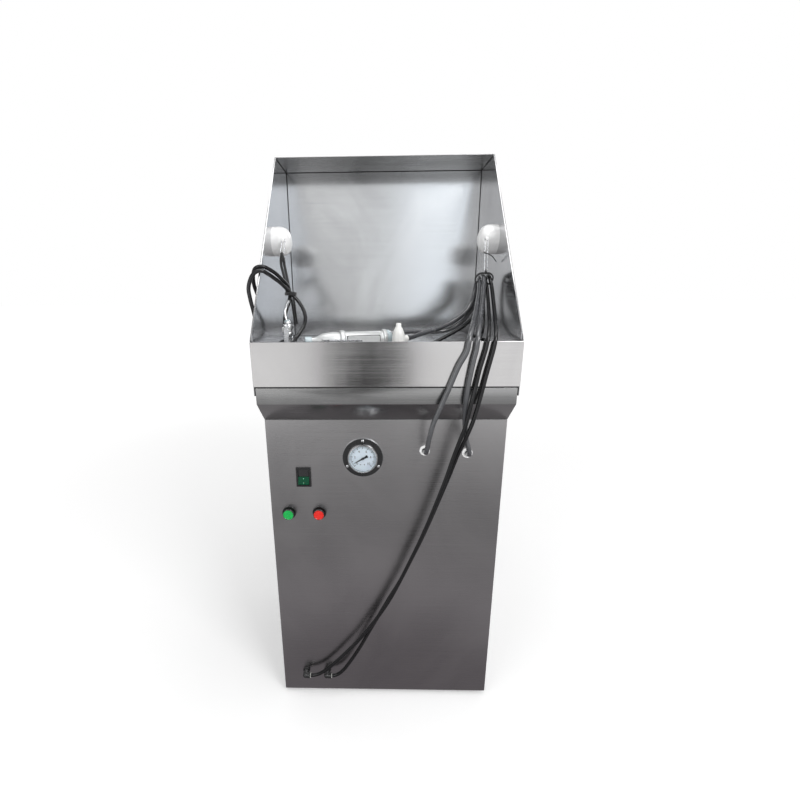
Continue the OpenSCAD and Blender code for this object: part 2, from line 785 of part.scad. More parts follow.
module hose_hangers() {
    color(white) for (side = [-1, 1]) {
        hanger_dome(side);
        bar_y(side * hanger_peg[0], hanger_peg[2], hanger_peg[1] - 3, hanger_y - 20, 1.6);
        bar_y(side * hanger_peg[0], hanger_peg[2], hanger_peg[1] - 5, hanger_peg[1] - 3, 3.2);
    }
}

// A closed wire loop of half width w hanging from a peg at a to the point b, turned about its own length
module wire_loop(a, b, w, turn) {
    wire = 0.9;
    d = b - a;
    run = norm(d);
    tilt_y = -asin(d[0] / run);
    translate(a)
        rotate([asin(d[1] / (run * cos(tilt_y))), tilt_y, 0])
            rotate([0, 0, turn]) {
                for (s = [-1, 1])
                    bar_z(s * w, 0, w - run, -0.3, wire);
                for (end = [[-0.3, 0], [w - run, 180]])
                    translate([0, 0, end[0]])
                        rotate([90, end[1], 0])
                            rotate_extrude(angle = 180)
                                translate([w, 0])
                                    circle(r = wire, $fn = 16);
            }
}

module hanger_wires() {
    color([0.8, 0.8, 0.8]) {
        wire_loop(hanger_peg, [220.5, -26, 1018.5], 3.2, 0);
        wire_loop([-hanger_peg[0], hanger_peg[1], hanger_peg[2]], [-226, -16, 1057], 3.8, 0);
    }
}

// A flat band round a bundle: its opening is the racetrack a by b, its height h, its wall 1.6
module band(a, b, h) {
    wall = 1.6;
    linear_extrude(h, center = true)
        difference() {
            racetrack(a, b, wall);
            racetrack(a, b, 0);
        }
}

module racetrack(a, b, grow) {
    for (s = [-1, 1])
        translate([s * (a - b) / 2, 0])
            circle(r = b / 2 + grow);
    square([a - b, b + 2 * grow], center = true);
}

module rod(a, b, r) {
    v = b - a;
    translate(a)
        rotate([0, acos(v[2] / norm(v)), atan2(v[1], v[0])])
            cylinder(h = norm(v), r = r);
}

module hose_ties() {
    strap = 2.2;
    color(black) {
        // sling round the four risers, and its ring through the right wire
        translate([219, -22, 1002.5])
            rotate([-63, 0, 0])
                band(37, 25, 5);
        translate([220.5, -27, 1017])
            rotate([0, 90, 0])
                rotate_extrude()
                    translate([4.2, 0])
                        circle(r = 1.2, $fn = 16);
        // band round the hank, its doubled strap up to the left wire, and the strap's tails
        translate([-202, -61, 974])
            rotate([0, 0, -65])
                band(32, 18, 6);
        for (s = [-1, 1]) {
            rod([-226, -16 + 3.9 * s, 1056.5], [-209 + 2.6 * s, -45, 974], strap);
            rod([-203.5 + 2.4 * s, -42.5, 974], [-197 + 2.4 * s, -46, 905], strap);
        }
        translate([-226, -16, 1056.5])
            rotate([90, 0, 90])
                rotate_extrude(angle = 180)
                    translate([3.9, 0])
                        circle(r = strap, $fn = 16);
    }
}

// ---- hoses ----
module hose_fluid_left() {
    color(black) sweep(route_fluid_left, fluid_r, 2);
}

module hose_fluid_right() {
    color(black) sweep(route_fluid_right, fluid_r, 2);
}

module hose_air_left() {
    color(black) sweep(route_air_left, air_r, 1);
}

module hose_air_right() {
    color(black) sweep(route_air_right, air_r, 1);
}

module hose_hank() {
    color(black) sweep(route_hank, air_r, 1);
}

// ---- tools ----
module spray_gun() {
    x = route_lance[0][0];
    y = route_lance[0][1];
    color([0.8, 0.82, 0.84]) {
        difference() {
            bar_z(x, y, grate_top + 0.5, 897, 10);
            bar_z(x, y, grate_top - 1, grate_top + 4, 7);
        }
        bar_z(x, y, 890, 912, 12);
        bar_y(x, 873, y, y + 20, 6);
        difference() {
            block([x - 8, trigger_pivot[1] - 4, 897], [x + 8, y - 6, 907]);
            block([x - 5.2, trigger_pivot[1] - 6, 890], [x + 5.2, y - 12.5, 912]);
            bar_x(trigger_pivot[1], trigger_pivot[2], x - 12, x + 12, 1.55);
        }
    }
    color(steel) {
        sweep(route_lance, 3, 2, 12);
    }
}

module spray_trigger() {
    x = trigger_pivot[0];
    color(steel) {
        bar_x(trigger_pivot[1], trigger_pivot[2], x - 8, x + 8, 1.5);
        profile_x([[-102.5, 899], [-102.5, 905], [-107, 905], [-112, 868], [-109, 866]], x - 5, x + 5);
    }
}

module wash_gun() {
    flange = 20;
    color([0.78, 0.79, 0.8]) translate(gun_end)
        rotate([0, 0, gun_turn]) {
            bar_x(0, 0, -95, 0, 17);
            bar_x(0, 0, -8, 0, flange);
            bar_x(0, 0, -98, -90, flange);
            bar_x(0, 0, -142, -95, 14);
            bar_x(0, 0, -160, -140, 7);
            for (inlet = [[8, 11, 5], [-9, -7, 4]])
                bar_x(inlet[0], inlet[1], -1, 12, inlet[2]);
            difference() {
                block([-136, -26, -5], [-124, -8, 5]);
                bar_z(-130, -22, -10, 10, 1.55);
                block([-140, -30, -3.3], [-112, -14.5, 3.3]);
            }
        }
    color([0.7, 0.82, 0.88]) translate(gun_end)
        rotate([0, 0, gun_turn])
            difference() {
                bar_x(0, 0, -170, -156, 9);
                bar_x(0, 0, -175, -160, 3);
            }
}

module wash_trigger() {
    color(dark_steel) translate(gun_end)
        rotate([0, 0, gun_turn]) {
            bar_z(-130, -22, -5, 5, 1.5);
            linear_extrude(6, center = true)
                polygon([[-134, -24], [-134, -19], [-124, -19], [-60, -31], [-60, -34]]);
        }
}

module rinse_nozzle() {
    h = 55;
    color([0.95, 0.95, 0.93]) translate([nozzle_xy[0], nozzle_xy[1], grate_top + 0.3]) {
        difference() {
            rotate_extrude()
                polygon([[0, 0], [15, 0], [15, 6], [13.5, 8], [12, 34], [7.5, 46], [5.5, 48], [5, h], [0, h]]);
            cylinder(h = 8, r = 10);
            cylinder(h = 2 * h + 10, r = 2);
        }
        translate([0, 0, 22.7])
            rotate([0, 90, 45])
                difference() {
                    cylinder(h = 26, r = 6.5);
                    translate([0, 0, -1])
                        cylinder(h = 10, r = 2);
                }
    }
}

side_panel_left();
side_panel_right();
front_panel();
back_panel();
base_pan();
corner_posts();
rim_front();
rim_side_left();
rim_side_right();
wash_basin();
drain_strainer();
work_grate();
rim_gasket();
apron();
hood_side_left();
hood_side_right();
hood_back();
hood_roof();
rear_cover();
panel_screws();
levelling_feet();
foot_locknuts();
reservoir();
reservoir_lid();
drain_pipe();
pump_motor();
pump_head();
pump_bracket();
filter_bowl();
pressure_manifold();
fluid_pipes();
drain_valve();
drain_handle();
control_box();
mains_gland();
gauge_case();
gauge_bezel();
gauge_dial();
gauge_needle();
gauge_lens();
rocker_frame();
rocker();
button_bezels();
start_button();
stop_button();
hose_grommets();
air_fittings();
hose_hangers();
hanger_wires();
hose_ties();
hose_fluid_left();
hose_fluid_right();
hose_air_left();
hose_air_right();
hose_hank();
spray_gun();
spray_trigger();
wash_gun();
wash_trigger();
rinse_nozzle();
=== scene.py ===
# Stainless spray-gun parts washer: the looks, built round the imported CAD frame.
# The frame is in metres; the helpers take millimetres and scale them.
import math

import bmesh
import bpy
from mathutils import Matrix, Vector


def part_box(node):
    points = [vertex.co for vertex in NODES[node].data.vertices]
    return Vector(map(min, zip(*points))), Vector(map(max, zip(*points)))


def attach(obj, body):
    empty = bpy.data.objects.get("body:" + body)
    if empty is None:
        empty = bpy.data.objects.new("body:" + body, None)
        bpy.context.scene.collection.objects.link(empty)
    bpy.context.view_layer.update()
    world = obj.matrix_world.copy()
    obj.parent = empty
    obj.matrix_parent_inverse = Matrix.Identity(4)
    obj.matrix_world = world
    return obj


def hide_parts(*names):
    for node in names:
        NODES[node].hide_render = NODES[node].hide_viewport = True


MM = 0.001
HANDS = ((-1, "left"), (1, "right"))
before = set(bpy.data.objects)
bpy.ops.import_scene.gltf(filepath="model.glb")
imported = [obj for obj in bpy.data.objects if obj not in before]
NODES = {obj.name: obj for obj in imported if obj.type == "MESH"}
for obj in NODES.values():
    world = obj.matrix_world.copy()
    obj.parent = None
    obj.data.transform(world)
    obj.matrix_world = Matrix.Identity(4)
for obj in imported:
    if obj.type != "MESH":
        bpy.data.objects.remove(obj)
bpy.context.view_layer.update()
scene = bpy.context.scene


def v3(p):
    return Vector((p[0] * MM, p[1] * MM, p[2] * MM))


def shift(x, y, z):
    """A translation, given in millimetres."""
    return Matrix.Translation(v3((x, y, z)))


def rotation(degrees, axis):
    return Matrix.Rotation(math.radians(degrees), 4, axis)


def polar(radius, degrees):
    """A point on a circle round the origin."""
    a = math.radians(degrees)
    return radius * math.cos(a), radius * math.sin(a)


# ---- camera: fitted to the cabinet's edges ----
PITCH = math.radians(15.03)
YAW = math.radians(-1.368)
ROLL = math.radians(-0.455)
CAMERA_AT = (-12.03, -944.89, 965.59)
forward = Vector((math.sin(YAW) * math.cos(PITCH), math.cos(YAW) * math.cos(PITCH),
                  -math.sin(PITCH)))
level = Vector((math.cos(YAW), -math.sin(YAW), 0))
upright = level.cross(forward)
right = level * math.cos(ROLL) + upright * math.sin(ROLL)
above = upright * math.cos(ROLL) - level * math.sin(ROLL)
cam_data = bpy.data.cameras.new("camera")
cam_data.sensor_width = 36
cam_data.lens = 17.92
cam_data.shift_x = 0.0374
cam_data.shift_y = 0.0052
cam_data.clip_start = 0.01
camera = bpy.data.objects.new("camera", cam_data)
scene.collection.objects.link(camera)
turn = Matrix((right, above, -forward)).transposed().to_4x4()
camera.matrix_world = shift(*CAMERA_AT) @ turn
scene.camera = camera


# ---- materials ----
NOISE_SPAN = (0.3, 0.7)
SMUDGE_STRETCH = (5.0, 5.0, 3.5)
SMUDGE_DARK = (0.88, 0.88, 0.885)


def set_inputs(node, values):
    for socket, value in values.items():
        node.inputs[socket].default_value = value


def shader_of(mat):
    return mat.node_tree.nodes["Principled BSDF"]


def new_material(name, settings):
    """A material with its shader's sockets set, and its nodes, links and shader."""
    mat = bpy.data.materials.new(name)
    mat.use_nodes = True
    set_inputs(shader_of(mat), settings)
    return mat, mat.node_tree.nodes, mat.node_tree.links, shader_of(mat)


def grain(nodes, links, stretch, detail=3.0):
    """A noise node over object space."""
    coord = nodes.new("ShaderNodeTexCoord")
    mapping = nodes.new("ShaderNodeMapping")
    mapping.inputs["Scale"].default_value = stretch
    noise = nodes.new("ShaderNodeTexNoise")
    set_inputs(noise, {"Scale": 1.0, "Detail": detail})
    links.new(coord.outputs["Object"], mapping.inputs["Vector"])
    links.new(mapping.outputs["Vector"], noise.inputs["Vector"])
    return noise


def map_range(nodes, links, source, span, target):
    node = nodes.new("ShaderNodeMapRange")
    set_inputs(node, {"From Min": span[0], "From Max": span[1],
                      "To Min": target[0], "To Max": target[1]})
    links.new(source, node.inputs["Value"])
    return node.outputs["Result"]


def spread(nodes, links, noise, low, high):
    """Maps a noise's usual span onto low-high."""
    return map_range(nodes, links, noise.outputs["Fac"], NOISE_SPAN, (low, high))


def tint(nodes, links, noise, dark, light):
    ramp = nodes.new("ShaderNodeValToRGB")
    for stop, at, colour in zip(ramp.color_ramp.elements, NOISE_SPAN, (dark, light)):
        stop.position = at
        stop.color = (*colour, 1)
    links.new(noise.outputs["Fac"], ramp.inputs["Fac"])
    return ramp.outputs["Color"]


def varied(nodes, links, noise, colour, vary):
    """The colour made darker and lighter by the share vary, following a noise."""
    return tint(nodes, links, noise, [c * (1 - vary) for c in colour],
                [min(1, c * (1 + vary)) for c in colour])


def relief(nodes, links, bsdf, texture, strength, distance):
    bump = nodes.new("ShaderNodeBump")
    set_inputs(bump, {"Strength": strength, "Distance": distance})
    links.new(texture.outputs["Fac"], bump.inputs["Height"])
    links.new(bump.outputs["Normal"], bsdf.inputs["Normal"])


def brushed(name, colour, rough, stretch, aniso=0.55, contrast=0.05, bump=0.05):
    """Stainless sheet: fine brush lines in one direction, faint smudges, soft reflections."""
    mat, nodes, links, bsdf = new_material(name, {"Metallic": 1.0, "Anisotropic": aniso})
    lines = grain(nodes, links, stretch, 4.0)
    smudge = grain(nodes, links, SMUDGE_STRETCH)
    smudge.inputs["Distortion"].default_value = 1.5
    mix = nodes.new("ShaderNodeMix")
    mix.data_type = "RGBA"
    mix.blend_type = "MULTIPLY"
    mix.inputs[0].default_value = 1.0
    links.new(varied(nodes, links, lines, colour, contrast), mix.inputs[6])
    links.new(tint(nodes, links, smudge, SMUDGE_DARK, (1, 1, 1)), mix.inputs[7])
    links.new(mix.outputs[2], bsdf.inputs["Base Color"])
    add = nodes.new("ShaderNodeMath")
    links.new(spread(nodes, links, lines, rough - 0.05, rough + 0.05), add.inputs[0])
    links.new(spread(nodes, links, smudge, -0.03, 0.04), add.inputs[1])
    links.new(add.outputs["Value"], bsdf.inputs["Roughness"])
    relief(nodes, links, bsdf, lines, bump, 0.0002)
    return mat


def moulded(name, colour, rough, coat=0.0, grain_size=900.0, bump=0.08, vary=0.12, spec=0.5):
    """Moulded plastic or rubber: a fine skin, slightly uneven gloss and colour."""
    mat, nodes, links, bsdf = new_material(name, {
        "Coat Weight": coat, "Coat Roughness": 0.08, "Specular IOR Level": spec})
    skin = grain(nodes, links, (grain_size,) * 3, 2.0)
    broad = grain(nodes, links, (40.0,) * 3)
    links.new(varied(nodes, links, broad, colour, vary), bsdf.inputs["Base Color"])
    links.new(spread(nodes, links, broad, rough * 0.85, rough * 1.2), bsdf.inputs["Roughness"])
    relief(nodes, links, bsdf, skin, bump, 0.0001)
    return mat


def metal(name, colour, rough, scale=160.0, bump=0.1, vary=0.08):
    """Cast, zinc-plated or polished small metal parts."""
    mat, nodes, links, bsdf = new_material(name, {"Metallic": 1.0})
    cloud = grain(nodes, links, (scale,) * 3, 4.0)
    links.new(varied(nodes, links, cloud, colour, vary), bsdf.inputs["Base Color"])
    links.new(spread(nodes, links, cloud, rough * 0.8, rough * 1.25), bsdf.inputs["Roughness"])
    relief(nodes, links, bsdf, cloud, bump, 0.0002)
    return mat


def glowing(name, colour, rough, glow, milky=0.35):
    """A translucent coloured cap: light gets a little way into it, and a faint emission gives it a
    glow, painted light on the push-button caps and the lens marks; on the rocker's lit lens it
    stands for its lamp.
    """
    mat = moulded(name, colour, rough, coat=0.8, grain_size=250.0, bump=0.04, vary=0.10)
    set_inputs(shader_of(mat), {"Subsurface Weight": milky, "Subsurface Scale": 0.004,
                                "Emission Color": (*glow, 1), "Emission Strength": 0.06})
    return mat


def woven(name):
    """Woven strap, with a fine uneven weave."""
    mat, nodes, links, bsdf = new_material(name, {
        "Base Color": (0.012, 0.012, 0.013, 1), "Roughness": 0.7, "Sheen Weight": 0.25})
    weave = nodes.new("ShaderNodeTexWave")
    set_inputs(weave, {"Scale": 900.0, "Distortion": 1.5})
    coord = nodes.new("ShaderNodeTexCoord")
    links.new(coord.outputs["Object"], weave.inputs["Vector"])
    relief(nodes, links, bsdf, weave, 0.6, 0.0003)
    return mat


def clear(name, settings, grain_size, detail, bump, distance):
    """Glass or clear plastic with a faintly uneven surface."""
    mat, nodes, links, bsdf = new_material(name, settings)
    relief(nodes, links, bsdf, grain(nodes, links, (grain_size,) * 3, detail), bump, distance)
    return mat


ALONG_X = (4.0, 2600.0, 2600.0)
ALONG_Y = (2600.0, 4.0, 2600.0)
# these sheets are lit and shaded copies of one stainless steel: painted light and shade in their
# base tones, lightest on the hood's back, darkest on the roof's underside and the front rim
m_panel = brushed("panel_steel", (0.50, 0.49, 0.495), 0.30, ALONG_X, contrast=0.06, bump=0.02)
m_apron = brushed("apron_steel", (0.66, 0.65, 0.65), 0.16, ALONG_X, aniso=0.5, bump=0.02)
m_rim_painted_shade = brushed("rim_steel_painted_shade", (0.42, 0.42, 0.42), 0.22, ALONG_X, bump=0.02)
m_side = brushed("side_steel", (0.54, 0.54, 0.545), 0.26, ALONG_Y, bump=0.02)
m_hood_painted_light = brushed("hood_steel_painted_light", (0.72, 0.73, 0.74), 0.19, ALONG_X, aniso=0.6, contrast=0.03,
                 bump=0.015)
m_hood_side = brushed("hood_side_steel", (0.60, 0.60, 0.61), 0.16, ALONG_Y, aniso=0.3,
                      contrast=0.03, bump=0.01)
m_roof_painted_shade = brushed("roof_steel_painted_shade", (0.34, 0.34, 0.34), 0.28, ALONG_X, contrast=0.04, bump=0.01)
m_grate = brushed("grate_steel", (0.62, 0.61, 0.61), 0.26, ALONG_X, bump=0.02)
m_zinc = metal("zinc", (0.50, 0.51, 0.52), 0.42, 60.0, 0.12)
m_bright = metal("bright_metal", (0.62, 0.63, 0.64), 0.20, 300.0, 0.03, 0.03)
m_gun = metal("gun_metal", (0.62, 0.63, 0.63), 0.46, 500.0, 0.10, 0.05)
set_inputs(shader_of(m_gun), {"Metallic": 0.55})
m_lever = metal("lever_metal", (0.56, 0.57, 0.59), 0.26, 300.0, 0.06)
m_brass = metal("brass_metal", (0.62, 0.45, 0.18), 0.34, 120.0, 0.15)
m_copper = metal("copper_metal", (0.60, 0.28, 0.15), 0.30, 90.0, 0.1)
m_air = moulded("air_hose_skin", (0.007, 0.007, 0.008), 0.20, coat=0.12, grain_size=500.0,
                bump=0.02, spec=0.4)
m_fluid = moulded("fluid_hose_skin", (0.060, 0.062, 0.068), 0.24, coat=0.5, grain_size=600.0,
                  bump=0.02, spec=0.9)
m_rubber = moulded("rubber_skin", (0.012, 0.012, 0.012), 0.55, grain_size=1500.0, bump=0.25)
m_black = moulded("black_skin", (0.014, 0.014, 0.015), 0.28, coat=0.3, grain_size=1800.0,
                  bump=0.12)
m_white = moulded("white_skin", (0.90, 0.90, 0.90), 0.25, coat=0.4, grain_size=700.0,
                  bump=0.02, vary=0.03)
m_cone = moulded("cone_skin", (0.82, 0.82, 0.80), 0.35, coat=0.15, grain_size=300.0,
                 bump=0.10, vary=0.04)
m_dial = moulded("dial_paint", (0.78, 0.88, 0.98), 0.42, grain_size=1200.0, bump=0.03, vary=0.05)
m_print = moulded("dial_print", (0.015, 0.02, 0.03), 0.5, bump=0.02)
m_nozzle = moulded("nozzle_skin", (0.46, 0.54, 0.57), 0.24, coat=0.4, bump=0.03, vary=0.05)
m_motor = moulded("motor_enamel", (0.020, 0.060, 0.22), 0.35, coat=0.3, grain_size=400.0,
                  bump=0.2)
m_enclosure = moulded("enclosure_skin", (0.58, 0.58, 0.55), 0.45, grain_size=1500.0,
                      bump=0.15, vary=0.04)
m_red_lever = moulded("lever_skin", (0.55, 0.02, 0.015), 0.32, coat=0.3)
m_green = glowing("green_cap", (0.0, 0.40, 0.07), 0.22, (0.0, 0.8, 0.15))
m_red = glowing("red_cap", (0.70, 0.012, 0.006), 0.22, (0.9, 0.03, 0.01))
m_rocker_lens = glowing("rocker_lens", (0.0, 0.045, 0.020), 0.30, (0.0, 0.25, 0.10), milky=0.1)
set_inputs(shader_of(m_rocker_lens), {"Coat Weight": 0.05, "Specular IOR Level": 0.2})
# painted highlight: a bright glowing green for the two marks on the rocker's lens
m_painted_highlight = glowing("painted_highlight_mark", (0.35, 0.85, 0.55), 0.3, (0.5, 1.0, 0.7))
m_woven = woven("woven_strap")
m_lens = clear("lens_glass", {"Base Color": (1, 1, 1, 1), "Roughness": 0.02,
                              "Transmission Weight": 1.0, "IOR": 1.1}, 300.0, 2.0, 0.01, 0.0001)
m_bowl = clear("bowl_plastic", {"Base Color": (0.75, 0.84, 0.9, 1), "Roughness": 0.12,
                                "Transmission Weight": 0.8}, 80.0, 3.0, 0.05, 0.0002)


# ---- mesh helpers ----
POLE = 1e-6


def link(obj):
    scene.collection.objects.link(obj)
    return obj


def finish_mesh(name, bm, mat, sharp=35):
    """A smooth-shaded object from a bmesh, with edges over sharp degrees kept sharp."""
    bmesh.ops.recalc_face_normals(bm, faces=bm.faces)
    mesh = bpy.data.meshes.new(name)
    bm.to_mesh(mesh)
    bm.free()
    for f in mesh.polygons:
        f.use_smooth = True
    mesh.set_sharp_from_angle(angle=math.radians(sharp))
    mesh.materials.append(mat)
    return link(bpy.data.objects.new(name, mesh))


def bevel(obj, width, segments=2):
    mod = obj.modifiers.new("edges", "BEVEL")
    mod.width = width * MM
    mod.segments = segments
    mod.limit_method = "ANGLE"
    mod.angle_limit = math.radians(35)
    mod.harden_normals = False


def aim(origin, axis):
    """A matrix that puts local +Z along axis at origin (millimetres)."""
    z = Vector(axis).normalized()
    ref = Vector((0, 0, 1))
    if abs(z.dot(ref)) > 0.95:
        ref = Vector((0, 1, 0))
    x = ref.cross(z).normalized()
    turned = Matrix((x, z.cross(x), z)).transposed().to_4x4()
    return shift(*origin) @ turned


def lathe(name, profile, origin, axis, mat, sides=64, sharp=35):
    """A turned shape: (radius, height) pairs in millimetres along axis, closed at both ends
    unless the last pair is the first one again."""
    bm = bmesh.new()
    place = aim(origin, axis)
    rings = []
    for r, h in profile:
        angles = [2 * math.pi * k / sides for k in range(sides if r > POLE else 1)]
        rings.append([bm.verts.new(place @ Vector((r * MM * math.cos(a), r * MM * math.sin(a),
                                                   h * MM))) for a in angles])
    for a, b in zip(rings, rings[1:]):
        if len(a) == 1 and len(b) == 1:
            continue
        for k in range(sides):
            j = (k + 1) % sides
            if len(a) == 1:
                bm.faces.new((a[0], b[k], b[j]))
            elif len(b) == 1:
                bm.faces.new((a[k], a[j], b[0]))
            else:
                bm.faces.new((a[k], a[j], b[j], b[k]))
    if profile[0] == profile[-1]:
        bmesh.ops.remove_doubles(bm, verts=bm.verts, dist=1e-7)
    else:
        for ring, flip in ((rings[0], True), (rings[-1], False)):
            if len(ring) > 1:
                bm.faces.new(list(reversed(ring)) if flip else ring)
    return finish_mesh(name, bm, mat, sharp)


def catmull(a, b, c, d, t):
    """One coordinate of a Catmull-Rom curve, at t from b to c."""
    return 0.5 * (2 * b + (c - a) * t + (2 * a - 5 * b + 4 * c - d) * t * t
                  + (3 * b - 3 * c + d - a) * t ** 3)


def rounded(profile, steps=5):
    """Smooths a (radius, height) profile."""
    out = []
    n = len(profile)
    for i in range(n - 1):
        p0, p1 = profile[max(i - 1, 0)], profile[i]
        p2, p3 = profile[i + 1], profile[min(i + 2, n - 1)]
        for s in range(steps):
            radius, height = (catmull(*four, s / steps) for four in zip(p0, p1, p2, p3))
            out.append((max(0.0, radius), height))
    out.append(profile[-1])
    return out


def prism(name, outline, depth, place, mat, edge, segments=2):
    """An outline (x, y in millimetres) extruded along local +Z, put in place by a matrix."""
    bm = bmesh.new()
    low, high = ([bm.verts.new(place @ Vector((x * MM, y * MM, z))) for x, y in outline]
                 for z in (0, depth * MM))
    bm.faces.new(list(reversed(low)))
    bm.faces.new(high)
    for k in range(len(outline)):
        j = (k + 1) % len(outline)
        bm.faces.new((low[k], low[j], high[j], high[k]))
    obj = finish_mesh(name, bm, mat)
    bevel(obj, edge, segments)
    return obj


def round_rect(w, h, r, steps=6):
    pts = []
    for cx, cy, a0 in ((w / 2 - r, h / 2 - r, 0), (-w / 2 + r, h / 2 - r, 90),
                       (-w / 2 + r, -h / 2 + r, 180), (w / 2 - r, -h / 2 + r, 270)):
        for s in range(steps + 1):
            x, y = polar(r, a0 + 90 * s / steps)
            pts.append((cx + x, cy + y))
    return pts


def smooth_route(points, steps=6):
    """The same curve through the given points as the CAD hoses follow."""
    p = [Vector(q) for q in points]
    gaps = [(b - a).length for a, b in zip(p, p[1:])]
    slopes = [(p[1] - p[0]).normalized()]
    for i in range(1, len(p) - 1):
        slopes.append(((p[i + 1] - p[i]) / gaps[i] * gaps[i - 1]
                       + (p[i] - p[i - 1]) / gaps[i - 1] * gaps[i]) / (gaps[i] + gaps[i - 1]))
    slopes.append((p[-1] - p[-2]).normalized())
    out = []
    for i, d in enumerate(gaps):
        for s in range(steps):
            t = s / steps
            out.append(p[i] * (2 * t ** 3 - 3 * t * t + 1) + p[i + 1] * (3 * t * t - 2 * t ** 3)
                       + slopes[i] * d * (t ** 3 - 2 * t * t + t)
                       + slopes[i + 1] * d * (t ** 3 - t * t))
    out.append(p[-1])
    return out


def tube(name, points, radius, mat, cyclic=False, steps=6, sides=4):
    """A round tube along the given points (millimetres)."""
    pts = smooth_route(points, steps) if steps > 1 else [Vector(q) for q in points]
    curve = bpy.data.curves.new(name, "CURVE")
    curve.dimensions = "3D"
    curve.bevel_depth = radius * MM
    curve.bevel_resolution = sides
    curve.use_fill_caps = True
    spline = curve.splines.new("POLY")
    spline.points.add(len(pts) - 1)
    for target, q in zip(spline.points, pts):
        target.co = (*v3(q), 1)
    spline.use_cyclic_u = cyclic
    spline.use_smooth = True
    curve.materials.append(mat)
    return link(bpy.data.objects.new(name, curve))


def put(obj, body, slot, *nodes):
    """Rides obj on a body, and hides the CAD nodes it stands for. The slot is not used."""
    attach(obj, body)
    if nodes:
        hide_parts(*nodes)
    return obj


def fixed(obj, slot, *nodes):
    """Puts a piece on the washer's own body."""
    return put(obj, "washer", slot, *nodes)


# ---- hoses: the same centre lines as the CAD, machine end first ----
ROUTE_FLUID_LEFT = [
    (83, -150, 654), (83, -168, 654), (83, -186, 659.5), (83, -201, 673), (85, -209.5, 696),
    (91, -213, 727), (103, -213.5, 760), (119, -213.5, 800), (135, -213.5, 842),
    (149, -213.2, 871), (151, -212.3, 884.5), (153.5, -208, 894.5), (157.5, -199, 902),
    (162, -187, 908.5), (170, -160, 919.5), (180, -130, 934.5), (189, -100, 950.5),
    (198, -70, 967.5), (205.5, -42, 985), (208, -30, 993.5), (208.5, -18, 999.8),
    (208.5, -5.5, 1000.3), (208.5, 4, 994), (207.5, 8.5, 982), (204.5, 8, 967), (199.5, 3, 951),
    (190, -6, 936.5), (176, -18, 925), (160, -29, 915.5), (144, -38.5, 907.5), (122, -52, 900),
    (98, -66, 893.5), (76, -82, 888.5), (60, -98, 885), (45.4, -113.6, 883)]
ROUTE_FLUID_RIGHT = [
    (172, -150, 649), (172, -168, 649), (171, -184, 655), (167, -196, 669), (161, -197, 689),
    (156.5, -200.5, 712), (153.5, -205, 738), (152, -209.6, 762), (152.3, -213, 783),
    (154, -213.5, 805), (157.5, -213.5, 830), (162, -213.5, 857), (165, -213.2, 871),
    (166.5, -212.3, 884.5), (168.5, -208, 894.5), (171, -199, 902), (174.5, -187, 909),
    (182, -160, 921.5), (191, -128, 939.5), (200.5, -95, 960), (208.5, -63, 981),
    (213.5, -44, 993.5), (215.5, -31, 1003), (216, -17, 1010), (216, -3, 1011),
    (216, 8.5, 1004.5), (216, 16, 991.5), (214.5, 18, 976), (211, 16, 960), (205, 10, 944),
    (196, 1, 929), (184, -11, 917), (170, -23, 907), (152, -33, 897.5), (134, -41, 892.5),
    (110, -46, 890.5), (85, -51, 891.5), (62, -60.5, 892.5), (42, -70.5, 892.5),
    (27, -77.4, 891.8), (11.7, -81.3, 891.3)]
ROUTE_AIR_LEFT = [
    (-182, -176, 70), (-176, -176, 70), (-163, -176.5, 74), (-148, -177, 84), (-130, -177.5, 101),
    (-110, -178.5, 123), (-90, -179.5, 147), (-70, -181, 172), (-42, -185, 214), (-12, -189, 264),
    (12, -192, 310), (33, -194, 358), (54, -197, 411), (73, -199, 460), (91, -201.5, 512),
    (107, -204, 562), (122, -206.5, 612), (134, -209, 658), (144, -212.5, 694), (152, -216, 722),
    (157, -216.8, 748), (162, -216, 775), (168, -213.5, 802), (174, -212.5, 835),
    (180, -212.3, 860), (183, -212, 873), (185, -211, 885.5), (187.5, -206.5, 894.5),
    (190, -198, 901.5), (193, -187, 908), (199.5, -158, 919.5), (206.5, -125, 936),
    (213, -92, 953.5), (218, -62, 971), (221.5, -40, 985.5), (222.5, -29, 993.5),
    (222.5, -17, 999.5), (222.5, -5, 1000), (222.5, 4.5, 993.5), (222, 9.5, 981), (220, 10, 964),
    (216, 6.5, 947), (209, 0, 931), (200, -9, 917), (188, -19, 907), (174, -30, 898),
    (158, -39, 890), (140, -48, 882), (122, -57, 874), (104, -66, 867.5), (84, -75, 865),
    (64, -84.5, 865.5), (46, -90, 868.5), (31, -94, 872), (15.8, -97.8, 873.3)]
ROUTE_AIR_RIGHT = [
    (-130, -176, 70), (-124, -176, 70), (-114, -176, 74.5), (-101, -176, 87), (-86, -176.5, 110),
    (-71, -177, 136), (-56, -178, 165), (-38, -178.5, 203), (-14, -179, 252), (5, -180.5, 292),
    (37, -184, 358), (58, -186.5, 410), (78, -189, 460), (96, -192, 511), (113, -195, 562),
    (129, -198, 611), (144, -203, 662), (157, -211, 702), (166, -213.5, 730), (174, -213.5, 762),
    (181, -213, 795), (188, -212.5, 830), (194, -212.2, 858), (197, -212, 873),
    (199, -211, 885.5), (201, -206.5, 894.5), (203, -198, 901.5), (205.5, -187, 908.5),
    (211.5, -158, 921), (217.5, -125, 939), (223, -92, 958), (227.5, -62, 978), (229.5, -44, 991),
    (230, -31, 1001.5), (230, -17, 1008.5), (230, -3, 1009.5), (230.5, 8, 1003.5), (231, 15, 991),
    (231, 17.5, 975), (231, 17, 955), (230.5, 12, 935), (229, 1, 915), (225, -15, 896),
    (216, -37, 880), (202, -65, 869.5), (182, -97, 865), (156, -131, 864.6), (124, -158, 864.6),
    (80, -175, 864.6), (30, -182, 864.6)]
